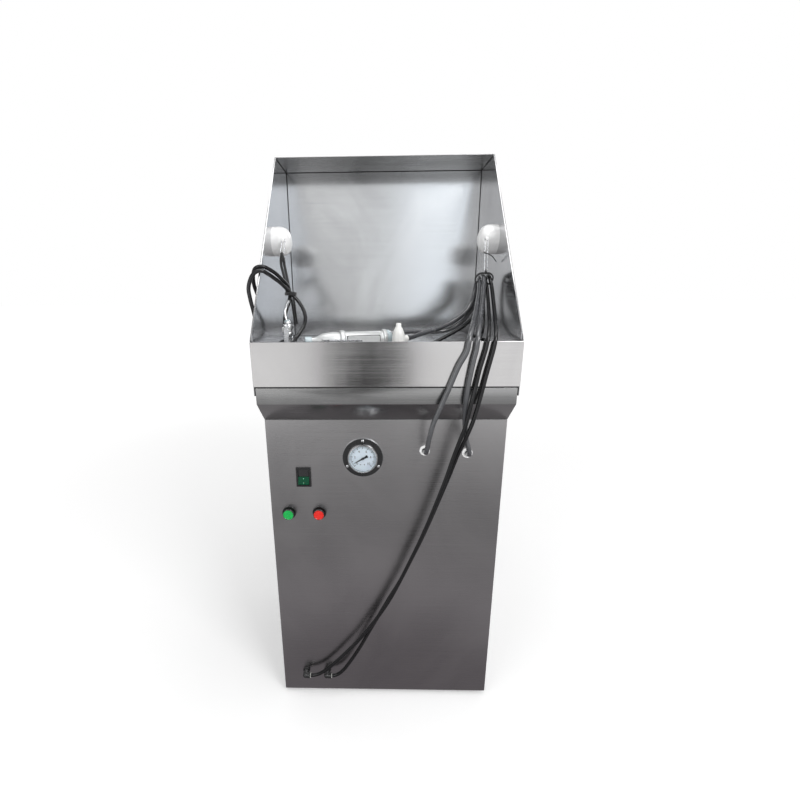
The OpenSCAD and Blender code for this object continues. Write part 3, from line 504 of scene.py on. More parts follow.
ROUTE_HANK = [
    (30, -182, 864.6), (-25, -184, 864.6), (-80, -184, 864.6), (-130, -181, 864.6),
    (-160, -172, 865), (-179, -156, 866.5), (-187, -135, 873), (-185, -115, 883.5),
    (-178, -98, 895.5), (-171.5, -84, 910), (-170, -75, 925), (-175, -69, 942), (-184, -66, 957),
    (-195, -66.5, 970), (-206, -71, 982.5), (-216, -79.5, 994), (-227, -92, 1004.5),
    (-237, -105, 1013), (-246, -112, 1018.2), (-254, -115, 1017.5), (-262, -118, 1012),
    (-268.5, -121.5, 1000), (-272, -124.5, 984), (-270, -126, 965), (-266, -126, 943),
    (-263, -123, 920), (-262, -113, 901), (-262, -97, 892), (-262, -81, 899), (-263, -70, 918),
    (-265, -68, 944), (-269, -75, 970), (-272, -87, 994), (-268.5, -97, 1013),
    (-262, -104.5, 1022.5), (-254, -108.5, 1026), (-245, -107, 1026.5), (-235, -99, 1022),
    (-224, -87, 1013.5), (-214, -74.5, 1001.5), (-206, -63, 988), (-204, -57, 973),
    (-209, -50, 957), (-217, -41, 941), (-224, -32, 924), (-227, -25, 907), (-225, -22, 892),
    (-219, -26, 880), (-212, -37, 874), (-207.5, -51, 873), (-206, -68, 873)]
ROUTE_LANCE = [
    (-206, -88, 912), (-210, -86, 925), (-211, -83, 938), (-208, -79, 950), (-203, -76, 960)]

hose_fluid_left = fixed(tube("fluid_hose_left", ROUTE_FLUID_LEFT, 5, m_fluid),
                        "black_hose", "hose_fluid_left")
hose_fluid_right = fixed(tube("fluid_hose_right", ROUTE_FLUID_RIGHT, 5, m_fluid),
                         "black_hose", "hose_fluid_right")
hose_air_left = fixed(tube("air_hose_left", ROUTE_AIR_LEFT, 4, m_air),
                      "black_hose", "hose_air_left")
ROUTE_AIR_LONG = ROUTE_AIR_RIGHT + ROUTE_HANK[1:]
hose_air_right = fixed(tube("air_hose_right", ROUTE_AIR_LONG, 4, m_air),
                       "black_hose", "hose_air_right", "hose_hank")


# ---- kept CAD nodes: welded, with soft edges and a finish each ----
MERGE_DISTANCE = 1e-5
SMOOTH_BELOW = 0.3


def geometry_group(name, build):
    group = bpy.data.node_groups.new(name, "GeometryNodeTree")
    for in_out in ("INPUT", "OUTPUT"):
        group.interface.new_socket("Geometry", in_out=in_out, socket_type="NodeSocketGeometry")
    start = group.nodes.new("NodeGroupInput")
    end = group.nodes.new("NodeGroupOutput")
    group.links.new(build(group, start.outputs[0]), end.inputs[0])
    return group


def build_weld(group, geometry):
    strip = group.nodes.new("GeometryNodeRemoveAttribute")
    strip.inputs["Name"].default_value = "custom_normal"
    merge = group.nodes.new("GeometryNodeMergeByDistance")
    merge.inputs["Distance"].default_value = MERGE_DISTANCE
    group.links.new(geometry, strip.inputs["Geometry"])
    group.links.new(strip.outputs["Geometry"], merge.inputs["Geometry"])
    return merge.outputs["Geometry"]


def build_smooth(group, geometry):
    faces = group.nodes.new("GeometryNodeSetShadeSmooth")
    faces.inputs["Shade Smooth"].default_value = True
    angle = group.nodes.new("GeometryNodeInputMeshEdgeAngle")
    sharper = group.nodes.new("FunctionNodeCompare")
    sharper.data_type = "FLOAT"
    sharper.operation = "GREATER_THAN"
    sharper.inputs["B"].default_value = SMOOTH_BELOW
    edges = group.nodes.new("GeometryNodeSetShadeSmooth")
    edges.domain = "EDGE"
    edges.inputs["Shade Smooth"].default_value = False
    group.links.new(geometry, faces.inputs["Geometry"])
    group.links.new(angle.outputs["Unsigned Angle"], sharper.inputs["A"])
    group.links.new(faces.outputs["Geometry"], edges.inputs["Geometry"])
    group.links.new(sharper.outputs["Result"], edges.inputs["Selection"])
    return edges.outputs["Geometry"]


WELD = geometry_group("weld", build_weld)
SMOOTH = geometry_group("smooth_by_angle", build_smooth)


def finish_node(name, mat, edge):
    """Gives a kept CAD node its finish, and rounds its edges by edge millimetres."""
    obj = NODES[name]
    if obj.material_slots:
        for material_slot in obj.material_slots:
            material_slot.material = mat
    else:
        obj.data.materials.append(mat)
    obj.modifiers.new("weld", "NODES").node_group = WELD
    if edge:
        flatten = obj.modifiers.new("flatten", "DECIMATE")
        flatten.decimate_type = "DISSOLVE"
        flatten.angle_limit = math.radians(0.5)
        bevel(obj, edge)
    obj.modifiers.new("smooth", "NODES").node_group = SMOOTH


for names, finish, edge_width in (
        ("front_panel back_panel rear_cover", m_panel, 0.4),
        ("apron", m_apron, 0.4),
        ("rim_front", m_rim_painted_shade, 0.5),
        ("rim_side_left rim_side_right side_panel_left side_panel_right", m_side, 0.5),
        ("hood_back", m_hood_painted_light, 0.4),
        ("hood_side_left hood_side_right", m_hood_side, 0.5),
        ("hood_roof", m_roof_painted_shade, 0.4),
        ("work_grate", m_grate, 0),
        ("wash_basin", m_grate, 0.4),
        ("base_pan corner_posts pump_bracket foot_locknuts drain_strainer", m_zinc, 0.4),
        ("drain_pipe reservoir_lid reservoir", m_zinc, 0.4),
        ("rim_gasket", m_rubber, 0.4),
        ("levelling_feet", m_rubber, 0.8),
        ("mains_gland gauge_case button_bezels", m_black, 0.5),
        ("rocker_frame", m_black, 0.9),
        ("pump_motor", m_motor, 0.8),
        ("pump_head pressure_manifold drain_valve", m_brass, 0.6),
        ("fluid_pipes", m_copper, 0),
        ("filter_bowl", m_bowl, 0.6),
        ("control_box", m_enclosure, 0.8),
        ("drain_handle", m_red_lever, 0.6),
        ("hanger_wires", m_lever, 0)):
    for node_name in names.split():
        finish_node(node_name, finish, edge_width)


# ---- hood corners: painted shade, thin dark strips along the inner corners ----
HOOD_X = 252.0
SHADE_INSET = 0.4
SHADE_FOOT = 862
HOOD_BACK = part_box("hood_back")[0][1] / MM
ROOF_FRONT, ROOF_UNDER = (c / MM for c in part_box("hood_roof")[0][1:])


# a thin dark strip along one inner corner of the hood: painted shade where the sheets meet
def seam_strip(name, a, b, radius=0.9):
    middle = [(p + q) / 2 for p, q in zip(a, b)]
    fixed(tube(name, [a, middle, b], radius, m_rubber, steps=1, sides=2), "black_rubber")


shade_y = HOOD_BACK - SHADE_INSET
shade_z = ROOF_UNDER - SHADE_INSET
for hand, word in HANDS:
    shade_x = hand * (HOOD_X - SHADE_INSET)
    seam_strip("corner_shade_back_" + word, (shade_x, shade_y, SHADE_FOOT), (shade_x, shade_y, ROOF_UNDER))
    seam_strip("corner_shade_roof_" + word, (shade_x, ROOF_FRONT + 2, shade_z), (shade_x, HOOD_BACK, shade_z))
seam_strip("corner_shade_roof_back", (-HOOD_X, shade_y, shade_z), (HOOD_X, shade_y, shade_z), 0.7)


# ---- hanger domes: white cups on the hood's sides, each with a peg for its wire ----
PEG_X, PEG_Z = 222, 1087
DIMPLE_DEPTH, DIMPLE_WIDTH = 2.5, 6
DOME = [(31.6, 0), (31.6, 6), (31.6, 12), (31.2, 18), (30, 24), (27.5, 29.5), (24, 33.5),
        (19, 36.8), (13, 39), (7, 39.9), (0, 40)]
PEG = [(0, 0), (1.6, 0), (1.6, 21), (2.9, 21.2), (3.2, 21.6), (3.2, 22.5), (2.6, 23), (0, 23)]
for hand, word in HANDS:
    dome = lathe("hanger_dome_" + word, rounded(DOME), (hand * HOOD_X, 28, 1090), (-hand, 0, 0),
                 m_white, 96)
    dimple = v3((hand * PEG_X, 1, PEG_Z))
    for v in dome.data.vertices:
        reach = (v.co - dimple).length / (DIMPLE_WIDTH * MM)
        v.co.y += DIMPLE_DEPTH * MM * math.exp(-reach ** 2)
    fixed(dome, "white_plastic", "hose_hangers")
    fixed(lathe("hanger_peg_" + word, PEG, (hand * PEG_X, 8, PEG_Z), (0, -1, 0), m_white, 24),
          "white_plastic")


# ---- ties: the right sling and its ring, the hank's band, strap and tails ----
def stadium(a, b, grow, steps=10):
    """Points of a racetrack a long and b wide, grown outward."""
    pts = []
    for cx, a0 in (((a - b) / 2, -90), (-(a - b) / 2, 90)):
        for s in range(steps + 1):
            x, y = polar(b / 2 + grow, a0 + 180 * s / steps)
            pts.append((cx + x, y))
    return pts


def band(name, place, a, b, radius, levels):
    """Turns of cord round a bundle: one closed loop at each level of the band's own plane."""
    made = []
    for k, h in enumerate(levels):
        pts = [place @ Vector((x, y, h)) for x, y in stadium(a, b, 0.8 + 0.25 * (k % 2))]
        made.append(tube("%s_%d" % (name, k + 1), pts, radius, m_woven, cyclic=True, steps=1,
                         sides=3))
    return made


sling_place = Matrix.Translation((219, -22, 1002.5)) @ rotation(-63, "X")
hank_place = Matrix.Translation((-202, -61, 974)) @ rotation(-65, "Z")
for piece in band("sling_turn", sling_place, 37, 25, 1.4, (-1.4, 1.4)):
    fixed(piece, "black_rubber", "hose_ties")
for piece in band("hank_turn", hank_place, 32, 18, 1.15, (-2.3, 0, 2.3)):
    fixed(piece, "black_rubber")
RING = [(220.5, -27 + x, 1017 + y) for x, y in (polar(4.2, 15 * k) for k in range(24))]
fixed(tube("sling_ring", RING, 1.2, m_black, cyclic=True, steps=1), "black_rubber")
STRAP = [(-213, -45.5, 974), (-216.5, -38, 992), (-222, -29, 1015), (-227.5, -22.5, 1038),
         (-227.5, -20.5, 1049), (-226, -19.9, 1056.5), (-226, -18.8, 1059.3), (-226, -16, 1060.4),
         (-226, -13.2, 1059.3), (-226, -12.1, 1056.5), (-223.5, -15, 1049), (-221.5, -19, 1038),
         (-216, -27.5, 1015), (-210.5, -37, 992), (-206, -45.5, 974)]
fixed(tube("hank_strap", STRAP, 3.0, m_woven), "black_rubber")
KEEPER = [(-223 + 0.85 * x, -21 + 1.08 * y, 1041 + 0.35 * k)
          for k, (x, y) in enumerate(polar(5, 30 * k) for k in range(30))]
fixed(tube("strap_keeper", KEEPER, 1.1, m_woven, steps=3), "black_rubber")
for k, s in enumerate((-1, 1)):
    tail = [(-203.5 + 2.4 * s, -42.5, 974), (-201.5 + 2.6 * s, -41.5, 952),
            (-199 + 2.2 * s, -43.5, 928), (-197 + 2.4 * s, -46, 905 + 4 * k)]
    fixed(tube("hank_tail_%d" % (k + 1), tail, 2.2, m_woven), "black_rubber")
LOOSE_END = [(217, -16.5, 1060), (215.8, -18, 1057.5), (219, -19.5, 1056.5), (226, -18, 1054.5),
             (236, -14, 1049.5), (246, -11, 1039)]
fixed(tube("sling_loose_end", LOOSE_END, 0.9, m_black), "black_rubber")


# ---- wash gun, lying in the bay ----
GUN = (2, -92, 880.3)
GUN_PLACE = shift(*GUN) @ rotation(14, "Z")
GUN_X = GUN_PLACE.to_3x3() @ Vector((1, 0, 0))
# stands an outline upright along the gun, with its depth towards the operator
TO_SIDE = Matrix(((1, 0, 0, 0), (0, 0, -1, 0), (0, 1, 0, 0), (0, 0, 0, 1)))
BARREL = [(0, 0), (19.2, 0), (20, 1), (20, 7), (19, 8), (17, 8.5), (17, 11), (16.6, 11.3),
          (16.6, 12.5), (17, 13), (17, 88), (19, 89.5), (20, 90.5), (20, 97), (19, 98),
          (15.5, 98.5), (16.8, 104), (17, 112), (16, 124), (14, 134), (11, 141), (8, 146),
          (7, 150), (7, 158), (0, 158)]
END_CAP = [(0, 0), (18.5, 0), (18.8, 3), (17.5, 8), (14, 11), (0, 11.2)]
TIP = [(3, 170), (8.3, 170), (9, 169.2), (9, 157), (8.4, 156), (3, 156), (3, 170)]
FLUID_BARB = [(0, 8), (6.6, 8), (6.6, 10.5), (5.9, 11), (5.9, 12), (0, 12)]
AIR_BARB = [(0, 8), (5.6, 8), (5.6, 10.5), (5, 11), (5, 12), (0, 12)]
CHEEK = [(-136, -26), (-124, -26), (-123, -25), (-123, -12), (-126, -8.5), (-134, -8.5),
         (-137, -12), (-137, -25)]
LEVER = [(-134, -24), (-134, -20.5), (-132.5, -19), (-124, -19), (-110, -21.5), (-90, -25.3),
         (-72, -29), (-62, -31), (-58, -33), (-57.5, -35), (-59, -36), (-63, -34.2),
         (-90, -28.5), (-124, -24.5)]
LEVER_PIN = [(0, -5), (1.2, -5), (1.5, -4.7), (1.5, 4.7), (1.2, 5), (0, 5)]


def on_gun(x, y, z):
    """A point of the gun's own frame, in the shared frame's millimetres."""
    return tuple((GUN_PLACE @ v3((x, y, z))) / MM)


fixed(lathe("wash_gun_body", BARREL, GUN, -GUN_X, m_gun, 96, sharp=40), "gun_silver", "wash_gun")
fixed(lathe("wash_gun_end_cap", END_CAP, GUN, GUN_X, m_nozzle, 96), "gun_silver")
fixed(lathe("wash_gun_tip", TIP, GUN, -GUN_X, m_nozzle, 48), "gun_silver")
fluid_barb = fixed(lathe("wash_gun_fluid_barb", FLUID_BARB, on_gun(0, 8, 11), GUN_X, m_bright, 40),
                   "bright_steel")
air_barb = fixed(lathe("wash_gun_air_barb", AIR_BARB, on_gun(0, -9, -7), GUN_X, m_bright, 40),
                 "bright_steel")
for word, w, h, proud, finish in (("rim", 70, 22, 1.4, m_black), ("plate", 67.6, 19.6, 2.0, m_gun)):
    fixed(prism("wash_gun_side_" + word, round_rect(w, h, 2.5), proud + 3,
                GUN_PLACE @ shift(-50.5, -13, -1) @ TO_SIDE, finish, 0.5), "gun_silver")
for k, z in enumerate((-5.2, 3.3)):
    fixed(prism("wash_gun_cheek_%d" % (k + 1), CHEEK, 1.9, GUN_PLACE @ shift(0, 0, z), m_gun, 0.5),
          "gun_silver")
put(prism("wash_lever_blade", LEVER, 6, GUN_PLACE @ shift(0, 0, -3), m_lever, 0.8, 3),
    "wash_lever", "bright_steel", "wash_trigger")
put(lathe("wash_lever_pin", LEVER_PIN, on_gun(-130, -22, 0), (0, 0, 1), m_bright, 24),
    "wash_lever", "bright_steel")


# ---- spray gun, standing on the grate in the hank ----
SPRAY_X, SPRAY_Y, INLET_Z = -206, -88, 873
# turns an outline's x, y into the frame's y, z, and its depth into the frame's x
FRAME_YZ = Matrix(((0, 0, 1, 0), (1, 0, 0, 0), (0, 1, 0, 0), (0, 0, 0, 1)))
BODY = [(0, 0), (10, 0), (10.5, 2), (10, 4), (9.2, 5), (9.2, 18), (10, 19), (10, 24), (9.2, 25),
        (9.2, 29), (12, 30.5), (12, 34), (11.3, 35), (11.3, 36.5), (12, 37.5), (12, 48),
        (11, 50.5), (8, 51.5), (8, 54), (6.5, 55), (5, 58), (3.6, 60), (0, 60)]
INLET = [(0, 4), (6, 4), (6, 12), (5.4, 12.6), (5.4, 18), (6, 18.6), (5.6, 20), (0, 20)]
COLLAR = [(3, 0), (6, 0), (6.2, 1), (6.2, 4.5), (5.6, 5.2), (3, 5.2), (3, 0)]
SPRAY_CHEEK = [(-108, 898), (-108, 906), (-107, 907), (-94, 907), (-94, 897), (-107, 897)]
TRIGGER = [(-102.5, 899), (-102.5, 905), (-107, 905), (-110, 885), (-112, 868), (-111, 866.3),
           (-109, 866), (-106.2, 882)]
TRIGGER_PIN = [(0, -8), (1.2, -8), (1.5, -7.7), (1.5, 7.7), (1.2, 8), (0, 8)]
spray_body = fixed(lathe("spray_gun_body", BODY, (SPRAY_X, SPRAY_Y, 860.5), (0, 0, 1), m_bright),
                   "bright_steel", "spray_gun")
inlet = fixed(lathe("spray_gun_inlet", INLET, (SPRAY_X, SPRAY_Y, INLET_Z), (0, 1, 0), m_bright, 40),
              "bright_steel")
fixed(prism("spray_gun_nut", [polar(7.2, 60 * k + 30) for k in range(6)], 4,
            aim((SPRAY_X, SPRAY_Y + 12, INLET_Z), (0, 1, 0)), m_bright, 0.5), "bright_steel")
for k, x in enumerate((-8, 5.2)):
    fixed(prism("spray_gun_cheek_%d" % (k + 1), SPRAY_CHEEK, 2.8,
                shift(SPRAY_X + x, 0, 0) @ FRAME_YZ, m_gun, 0.5), "bright_steel")
fixed(tube("spray_gun_lance", ROUTE_LANCE, 3, m_bright, sides=6), "bright_steel")
fixed(lathe("spray_gun_collar", COLLAR, (-206.7, -87.7, 915), (-0.28, 0.14, 0.95), m_nozzle, 40),
      "bright_steel")
put(prism("spray_trigger_blade", TRIGGER, 10, shift(SPRAY_X - 5, 0, 0) @ FRAME_YZ, m_lever, 0.8, 3),
    "spray_lever", "bright_steel", "spray_trigger")
put(lathe("spray_trigger_pin", TRIGGER_PIN, (SPRAY_X, -104, 902), (1, 0, 0), m_bright, 24),
    "spray_lever", "bright_steel")


# ---- rinse nozzle, standing on the grate ----
RINSE_X, RINSE_Y = 27, -132
NOZZLE = [(2, 55), (4.6, 55), (5.2, 54), (5.6, 48), (7.6, 45.5), (9.8, 40), (12, 34), (12.9, 20),
          (13.6, 9), (15, 6.5), (15.2, 1), (14.6, 0), (10, 0), (10, 8), (2, 10), (2, 55)]
SPOUT = [(0, 8), (7.4, 8), (7.2, 12), (6.5, 14), (6.5, 22), (6.9, 22.4), (6.9, 24.4), (6.3, 25),
         (5.3, 25.6), (0, 26)]
rinse_cone = fixed(lathe("rinse_nozzle_cone", NOZZLE, (RINSE_X, RINSE_Y, 860.3), (0, 0, 1),
                         m_cone, 72), "white_plastic", "rinse_nozzle")
rinse_spout = fixed(lathe("rinse_nozzle_spout", SPOUT, (RINSE_X, RINSE_Y, 883), (1, 1, 0),
                          m_cone, 48), "white_plastic")


# ---- pressure gauge ----
GX, GZ = -47, 638
PANEL_Y, FLANGE_Y, DIAL_Y = -160, -163, -165
PRINT_DEPTH = 0.12
# one scale of 10 from bottom left to bottom right, 27 degrees to a unit
SCALE_START, SCALE_SWEEP = 225, 270
NEEDLE_REST = 210
BEZEL = [(28.7, 0), (32.8, 0), (33, 3), (32.2, 6.5), (30.6, 8.8), (29.3, 9), (28.7, 8.2),
         (28.7, 0)]
FLANGE_HIGHLIGHT_RING = [(42.5, 0), (43.5, 0), (43.6, 1.4), (43.3, 2.6), (42.9, 3.1), (42.5, 3.1), (42.5, 0)]
DIAL = [(0, 0), (28.5, 0), (28.5, 0.8), (28.2, 1), (0, 1)]
ARBOR = [(0, 0), (1.2, 0), (1.2, 3.3), (0.9, 3.6), (0, 3.6)]
NEEDLE = [(-12, -2.6), (-10.5, -3.2), (-7.5, -2.2), (0, -1.7), (19, -0.6), (22, 0), (19, 0.6),
          (0, 1.7), (-7.5, 2.2), (-10.5, 3.2), (-12, 2.6)]
HUB = [(1.25, 0), (2.8, 0), (2.8, 0.8), (2.4, 1.1), (1.25, 1.1), (1.25, 0)]
LENS = [(0, 0), (28.5, 0), (28.5, 1), (28.3, 1.2), (0, 1.2)]
FACE = shift(GX, DIAL_Y - 1, GZ) @ rotation(90, "X")


def gauge_turned(name, profile, y, mat, sides=128):
    """A turned part on the gauge's axis, growing towards the operator from y."""
    return lathe(name, profile, (GX, y, GZ), (0, -1, 0), mat, sides)


fixed(gauge_turned("gauge_bezel_ring", BEZEL, FLANGE_Y, m_bright), "bright_steel", "gauge_bezel")
# a thin bright metal ring round the black flange's edge: a painted highlight for its lit edge
fixed(gauge_turned("gauge_flange_highlight_ring", FLANGE_HIGHLIGHT_RING, PANEL_Y, m_bright), "bright_steel")
for k, s in enumerate((-1, 1)):
    fixed(prism("gauge_tab_%d" % (k + 1), round_rect(5, 2.4, 0.7), 7,
                aim((GX, FLANGE_Y, GZ + 33 * s), (0, -1, 0)), m_black, 0.4), "bright_steel")
fixed(gauge_turned("gauge_dial_face", DIAL, DIAL_Y, m_dial, 96), "dial_face", "gauge_dial")
fixed(gauge_turned("gauge_arbor", ARBOR, DIAL_Y, m_bright, 24), "bright_steel")
ticks = bmesh.new()
for k in range(51):
    long, wide = (5.0, 1.0) if k % 5 == 0 else (3.2, 0.5)
    spot = FACE @ rotation(SCALE_START - SCALE_SWEEP * k / 50, "Z") @ shift(26.4 - long / 2, 0, 0)
    size = Matrix.Diagonal((long * MM, wide * MM, PRINT_DEPTH * MM, 1))
    bmesh.ops.create_cube(ticks, size=1, matrix=spot @ size)
for dx in (-5.2, 3.5):
    bmesh.ops.create_cone(ticks, cap_ends=True, segments=20, radius1=1.1 * MM, radius2=1.1 * MM,
                          depth=PRINT_DEPTH * MM, matrix=FACE @ shift(dx, -13.9, 0))
fixed(finish_mesh("gauge_ticks", ticks, m_print), "dial_face")
for value in range(0, 11, 2):
    digits = bpy.data.curves.new("gauge_number_%d" % value, "FONT")
    digits.body = str(value)
    digits.size = 7.2 * MM
    digits.align_x = "CENTER"
    digits.align_y = "CENTER"
    digits.extrude = 0.05 * MM
    digits.materials.append(m_print)
    number = link(bpy.data.objects.new("gauge_number_%d" % value, digits))
    number.matrix_world = FACE @ shift(*polar(16.8, SCALE_START - SCALE_SWEEP * value / 10), 0)
    fixed(number, "dial_face")
needle_place = shift(GX, -167.7, GZ) @ rotation(90, "X") @ rotation(NEEDLE_REST, "Z")
put(prism("gauge_pointer", NEEDLE, 0.6, needle_place, m_print, 0.15),
    "needle", "black_plastic", "gauge_needle")
put(gauge_turned("gauge_pointer_hub", HUB, -167.6, m_print, 32), "needle", "black_plastic")
fixed(gauge_turned("gauge_lens_disc", LENS, -169.4, m_lens, 96), "clear_lens", "gauge_lens")


# ---- screws: low domes with a small socket ----
def dome_screw(name, x, z, y, r, way, *nodes):
    height, skirt = r * 0.62, 0.12 * r
    profile = [(0, -2), (r * 0.5, -2), (r * 0.5, 0), (r, 0), (r, skirt)]
    for degrees in (20, 40, 60, 76):
        across, up = polar(1, degrees)
        profile.append((r * across, skirt + (height - skirt) * up))
    profile += [(0.22 * r, height * 0.97), (0.2 * r, height * 0.6), (0, height * 0.6)]
    fixed(lathe(name, profile, (x, y, z), (0, way, 0), m_bright, 32), "zinc_steel", *nodes)


for k in range(3):
    up, across = polar(38, 120 * k)
    dome_screw("gauge_screw_%d" % (k + 1), GX + across, GZ + up, FLANGE_Y, 3.6, -1, "panel_screws")
rear = [(x, z) for x in (-197, 0, 197) for z in (153, 420, 687) if (x, z) != (0, 420)]
for k, (x, z) in enumerate(rear):
    dome_screw("cover_screw_%d" % (k + 1), x, z, 201.5, 4, 1)


# ---- power rocker ----
ROCKER_AT = (-175, -157, 593)
ROCKER_WIDE = 23.2
UPPER = [(12, 0.15), (-4.5, 0.15), (-5.6, 8), (-7, 17), (2, 17), (10, 9)]
LOWER = [(2, -17), (-7, -17), (-5.6, -8), (-4.5, -0.15), (12, -0.15), (10, -9)]
# turns an outline's x, y into the rocker's width and height, and its depth forward
TO_FRONT = Matrix(((0, 0, -1, 0), (0, 1, 0, 0), (1, 0, 0, 0), (0, 0, 0, 1)))
rocker_place = shift(*ROCKER_AT) @ rotation(-12, "X") @ FRAME_YZ
rocker_side = rocker_place @ shift(0, 0, -ROCKER_WIDE / 2)
put(prism("rocker_upper", UPPER, ROCKER_WIDE, rocker_side, m_black, 0.5, 3),
    "rocker_button", "black_plastic", "rocker")
put(prism("rocker_lens", LOWER, ROCKER_WIDE, rocker_side, m_rocker_lens, 0.5, 3),
    "rocker_button", "green_lens")
# two small bright marks on the lens: painted highlights for the reflections on it
for k, z in enumerate((-4.5, -13)):
    put(prism("rocker_mark_%d" % (k + 1), round_rect(1.6, 1.6, 0.7), 0.8,
              rocker_place @ TO_FRONT @ shift(0, z, 4.1 - 0.147 * z), m_painted_highlight, 0.2),
        "rocker_button", "green_lens")
put(lathe("rocker_pin", [(0, -13.4), (1.5, -13.4), (1.5, 13.4), (0, 13.4)], ROCKER_AT, (1, 0, 0),
          m_black, 20), "rocker_button", "black_plastic")


# ---- push-buttons ----
BUTTON_Y, BUTTON_Z = -166, 509
CAP = [(0, -26), (6, -26), (6, 0), (11.2, 0), (11.2, 8.3), (10.9, 8.9), (10.4, 9), (10, 8.7),
       (9.7, 8.1), (7, 7.8), (0, 7.7)]
CAP_RING = [(11.1, 0), (11.6, 0), (12, 0.6), (12, 8.3), (11.8, 8.8), (11.5, 9), (11.1, 8.8),
            (11.1, 0)]
for x, finish, name, slot_name, node_name, body in (
        (-210.5, m_green, "start_cap_green", "green_button", "start_button", "start_cap"),
        (-144, m_red, "stop_cap_red", "red_button", "stop_button", "stop_cap")):
    at = (x, BUTTON_Y, BUTTON_Z)
    put(lathe(name, CAP, at, (0, -1, 0), finish, 72), body, slot_name, node_name)
    put(lathe(name + "_ring", CAP_RING, at, (0, -1, 0), m_black, 72), body, "black_plastic")


# ---- air elbows and hose grommets ----
ELBOW_Z = 70
ELBOW_NUT = [polar(9, 60 * k) for k in range(6)]
ELBOW = [(0, -14), (6, -14), (6, 0), (6.5, 0.3)]
ELBOW += [(r, 12 + h) for r, h in (polar(6.5, a) for a in range(0, 90, 15))] + [(0, 18.5)]
ARM = [(0, 0), (5.9, 0), (6.1, 4), (6.5, 4.6), (6.5, 11.4), (6, 12), (4.2, 12), (4.2, 11), (0, 11)]
COLLET = [(4.15, 11), (5.5, 11), (5.6, 12.4), (5.2, 13), (4.4, 13), (4.15, 12.6), (4.15, 11)]
GROMMET = [(5.6, 0), (9.6, 0), (10, 0.5), (10, 2.2), (7.9, 2.5), (7.9, 4), (11, 4), (11, 5.4),
           (10.3, 6.6), (8.6, 7), (6.4, 6.7), (5.6, 6), (5.6, 0)]
for x, word in ((-194, "left"), (-142, "right")):
    fixed(prism("air_elbow_nut_" + word, ELBOW_NUT, 4, aim((x, PANEL_Y, ELBOW_Z), (0, -1, 0)),
                m_black, 0.5), "black_plastic", "air_fittings")
    fixed(lathe("air_elbow_body_" + word, ELBOW, (x, -164, ELBOW_Z), (0, -1, 0), m_black, 48),
          "black_plastic")
    fixed(lathe("air_elbow_arm_" + word, ARM, (x, -176, ELBOW_Z), (1, 0, 0), m_black, 48),
          "black_plastic")
    fixed(lathe("air_elbow_collet_" + word, COLLET, (x, -176, ELBOW_Z), (1, 0, 0), m_enclosure, 48),
          "black_plastic")
for x, z, word in ((83, 654, "left"), (172, 649, "right")):
    fixed(lathe("hose_grommet_" + word, GROMMET, (x, -156, z), (0, -1, 0), m_white, 64),
          "white_plastic", "hose_grommets")


# ---- surroundings: a white world, a pale floor, and cards and lamps for reflections ----
scene.view_settings.view_transform = "Standard"
scene.view_settings.look = "None"
FLOOR_HALF = 60
CARD_Y = -2.5
# painted shade in reflections of the floor, darkest near the object: the tones nearest, furthest,
# and at shares of the way out
REFLECTED_FLOOR_SHADE_NEAR = (0.18, 0.165, 0.175)
REFLECTED_FLOOR_FAR = (0.64, 0.64, 0.65)
REFLECTED_FLOOR_SHADE_TONES = ((0.05, (0.20, 0.185, 0.195)), (0.12, (0.31, 0.295, 0.305)),
               (0.27, (0.27, 0.265, 0.268)), (0.45, (0.33, 0.325, 0.33)),
               (0.65, (0.44, 0.44, 0.44)))


def light_world():
    """Plain white behind everything, and a soft gradient as light."""
    world = bpy.data.worlds.new("studio")
    scene.world = world
    world.use_nodes = True
    nodes, links = world.node_tree.nodes, world.node_tree.links
    plain = nodes["Background"]
    plain.inputs["Color"].default_value = (1, 1, 1, 1)
    soft = nodes.new("ShaderNodeBackground")
    coord = nodes.new("ShaderNodeTexCoord")
    split = nodes.new("ShaderNodeSeparateXYZ")
    links.new(coord.outputs["Generated"], split.inputs["Vector"])
    strength = nodes.new("ShaderNodeMath")
    strength.operation = "MULTIPLY"
    across = map_range(nodes, links, split.outputs["X"], (-1.0, 1.0), (0.35, 0.85))
    upward = map_range(nodes, links, split.outputs["Z"], (0.0, 1.0), (0.8, 1.3))
    links.new(across, strength.inputs[0])
    links.new(upward, strength.inputs[1])
    links.new(strength.outputs["Value"], soft.inputs["Strength"])
    path = nodes.new("ShaderNodeLightPath")
    mix = nodes.new("ShaderNodeMixShader")
    links.new(path.outputs["Is Camera Ray"], mix.inputs[0])
    links.new(soft.outputs["Background"], mix.inputs[1])
    links.new(plain.outputs["Background"], mix.inputs[2])
    links.new(mix.outputs["Shader"], nodes["World Output"].inputs["Surface"])


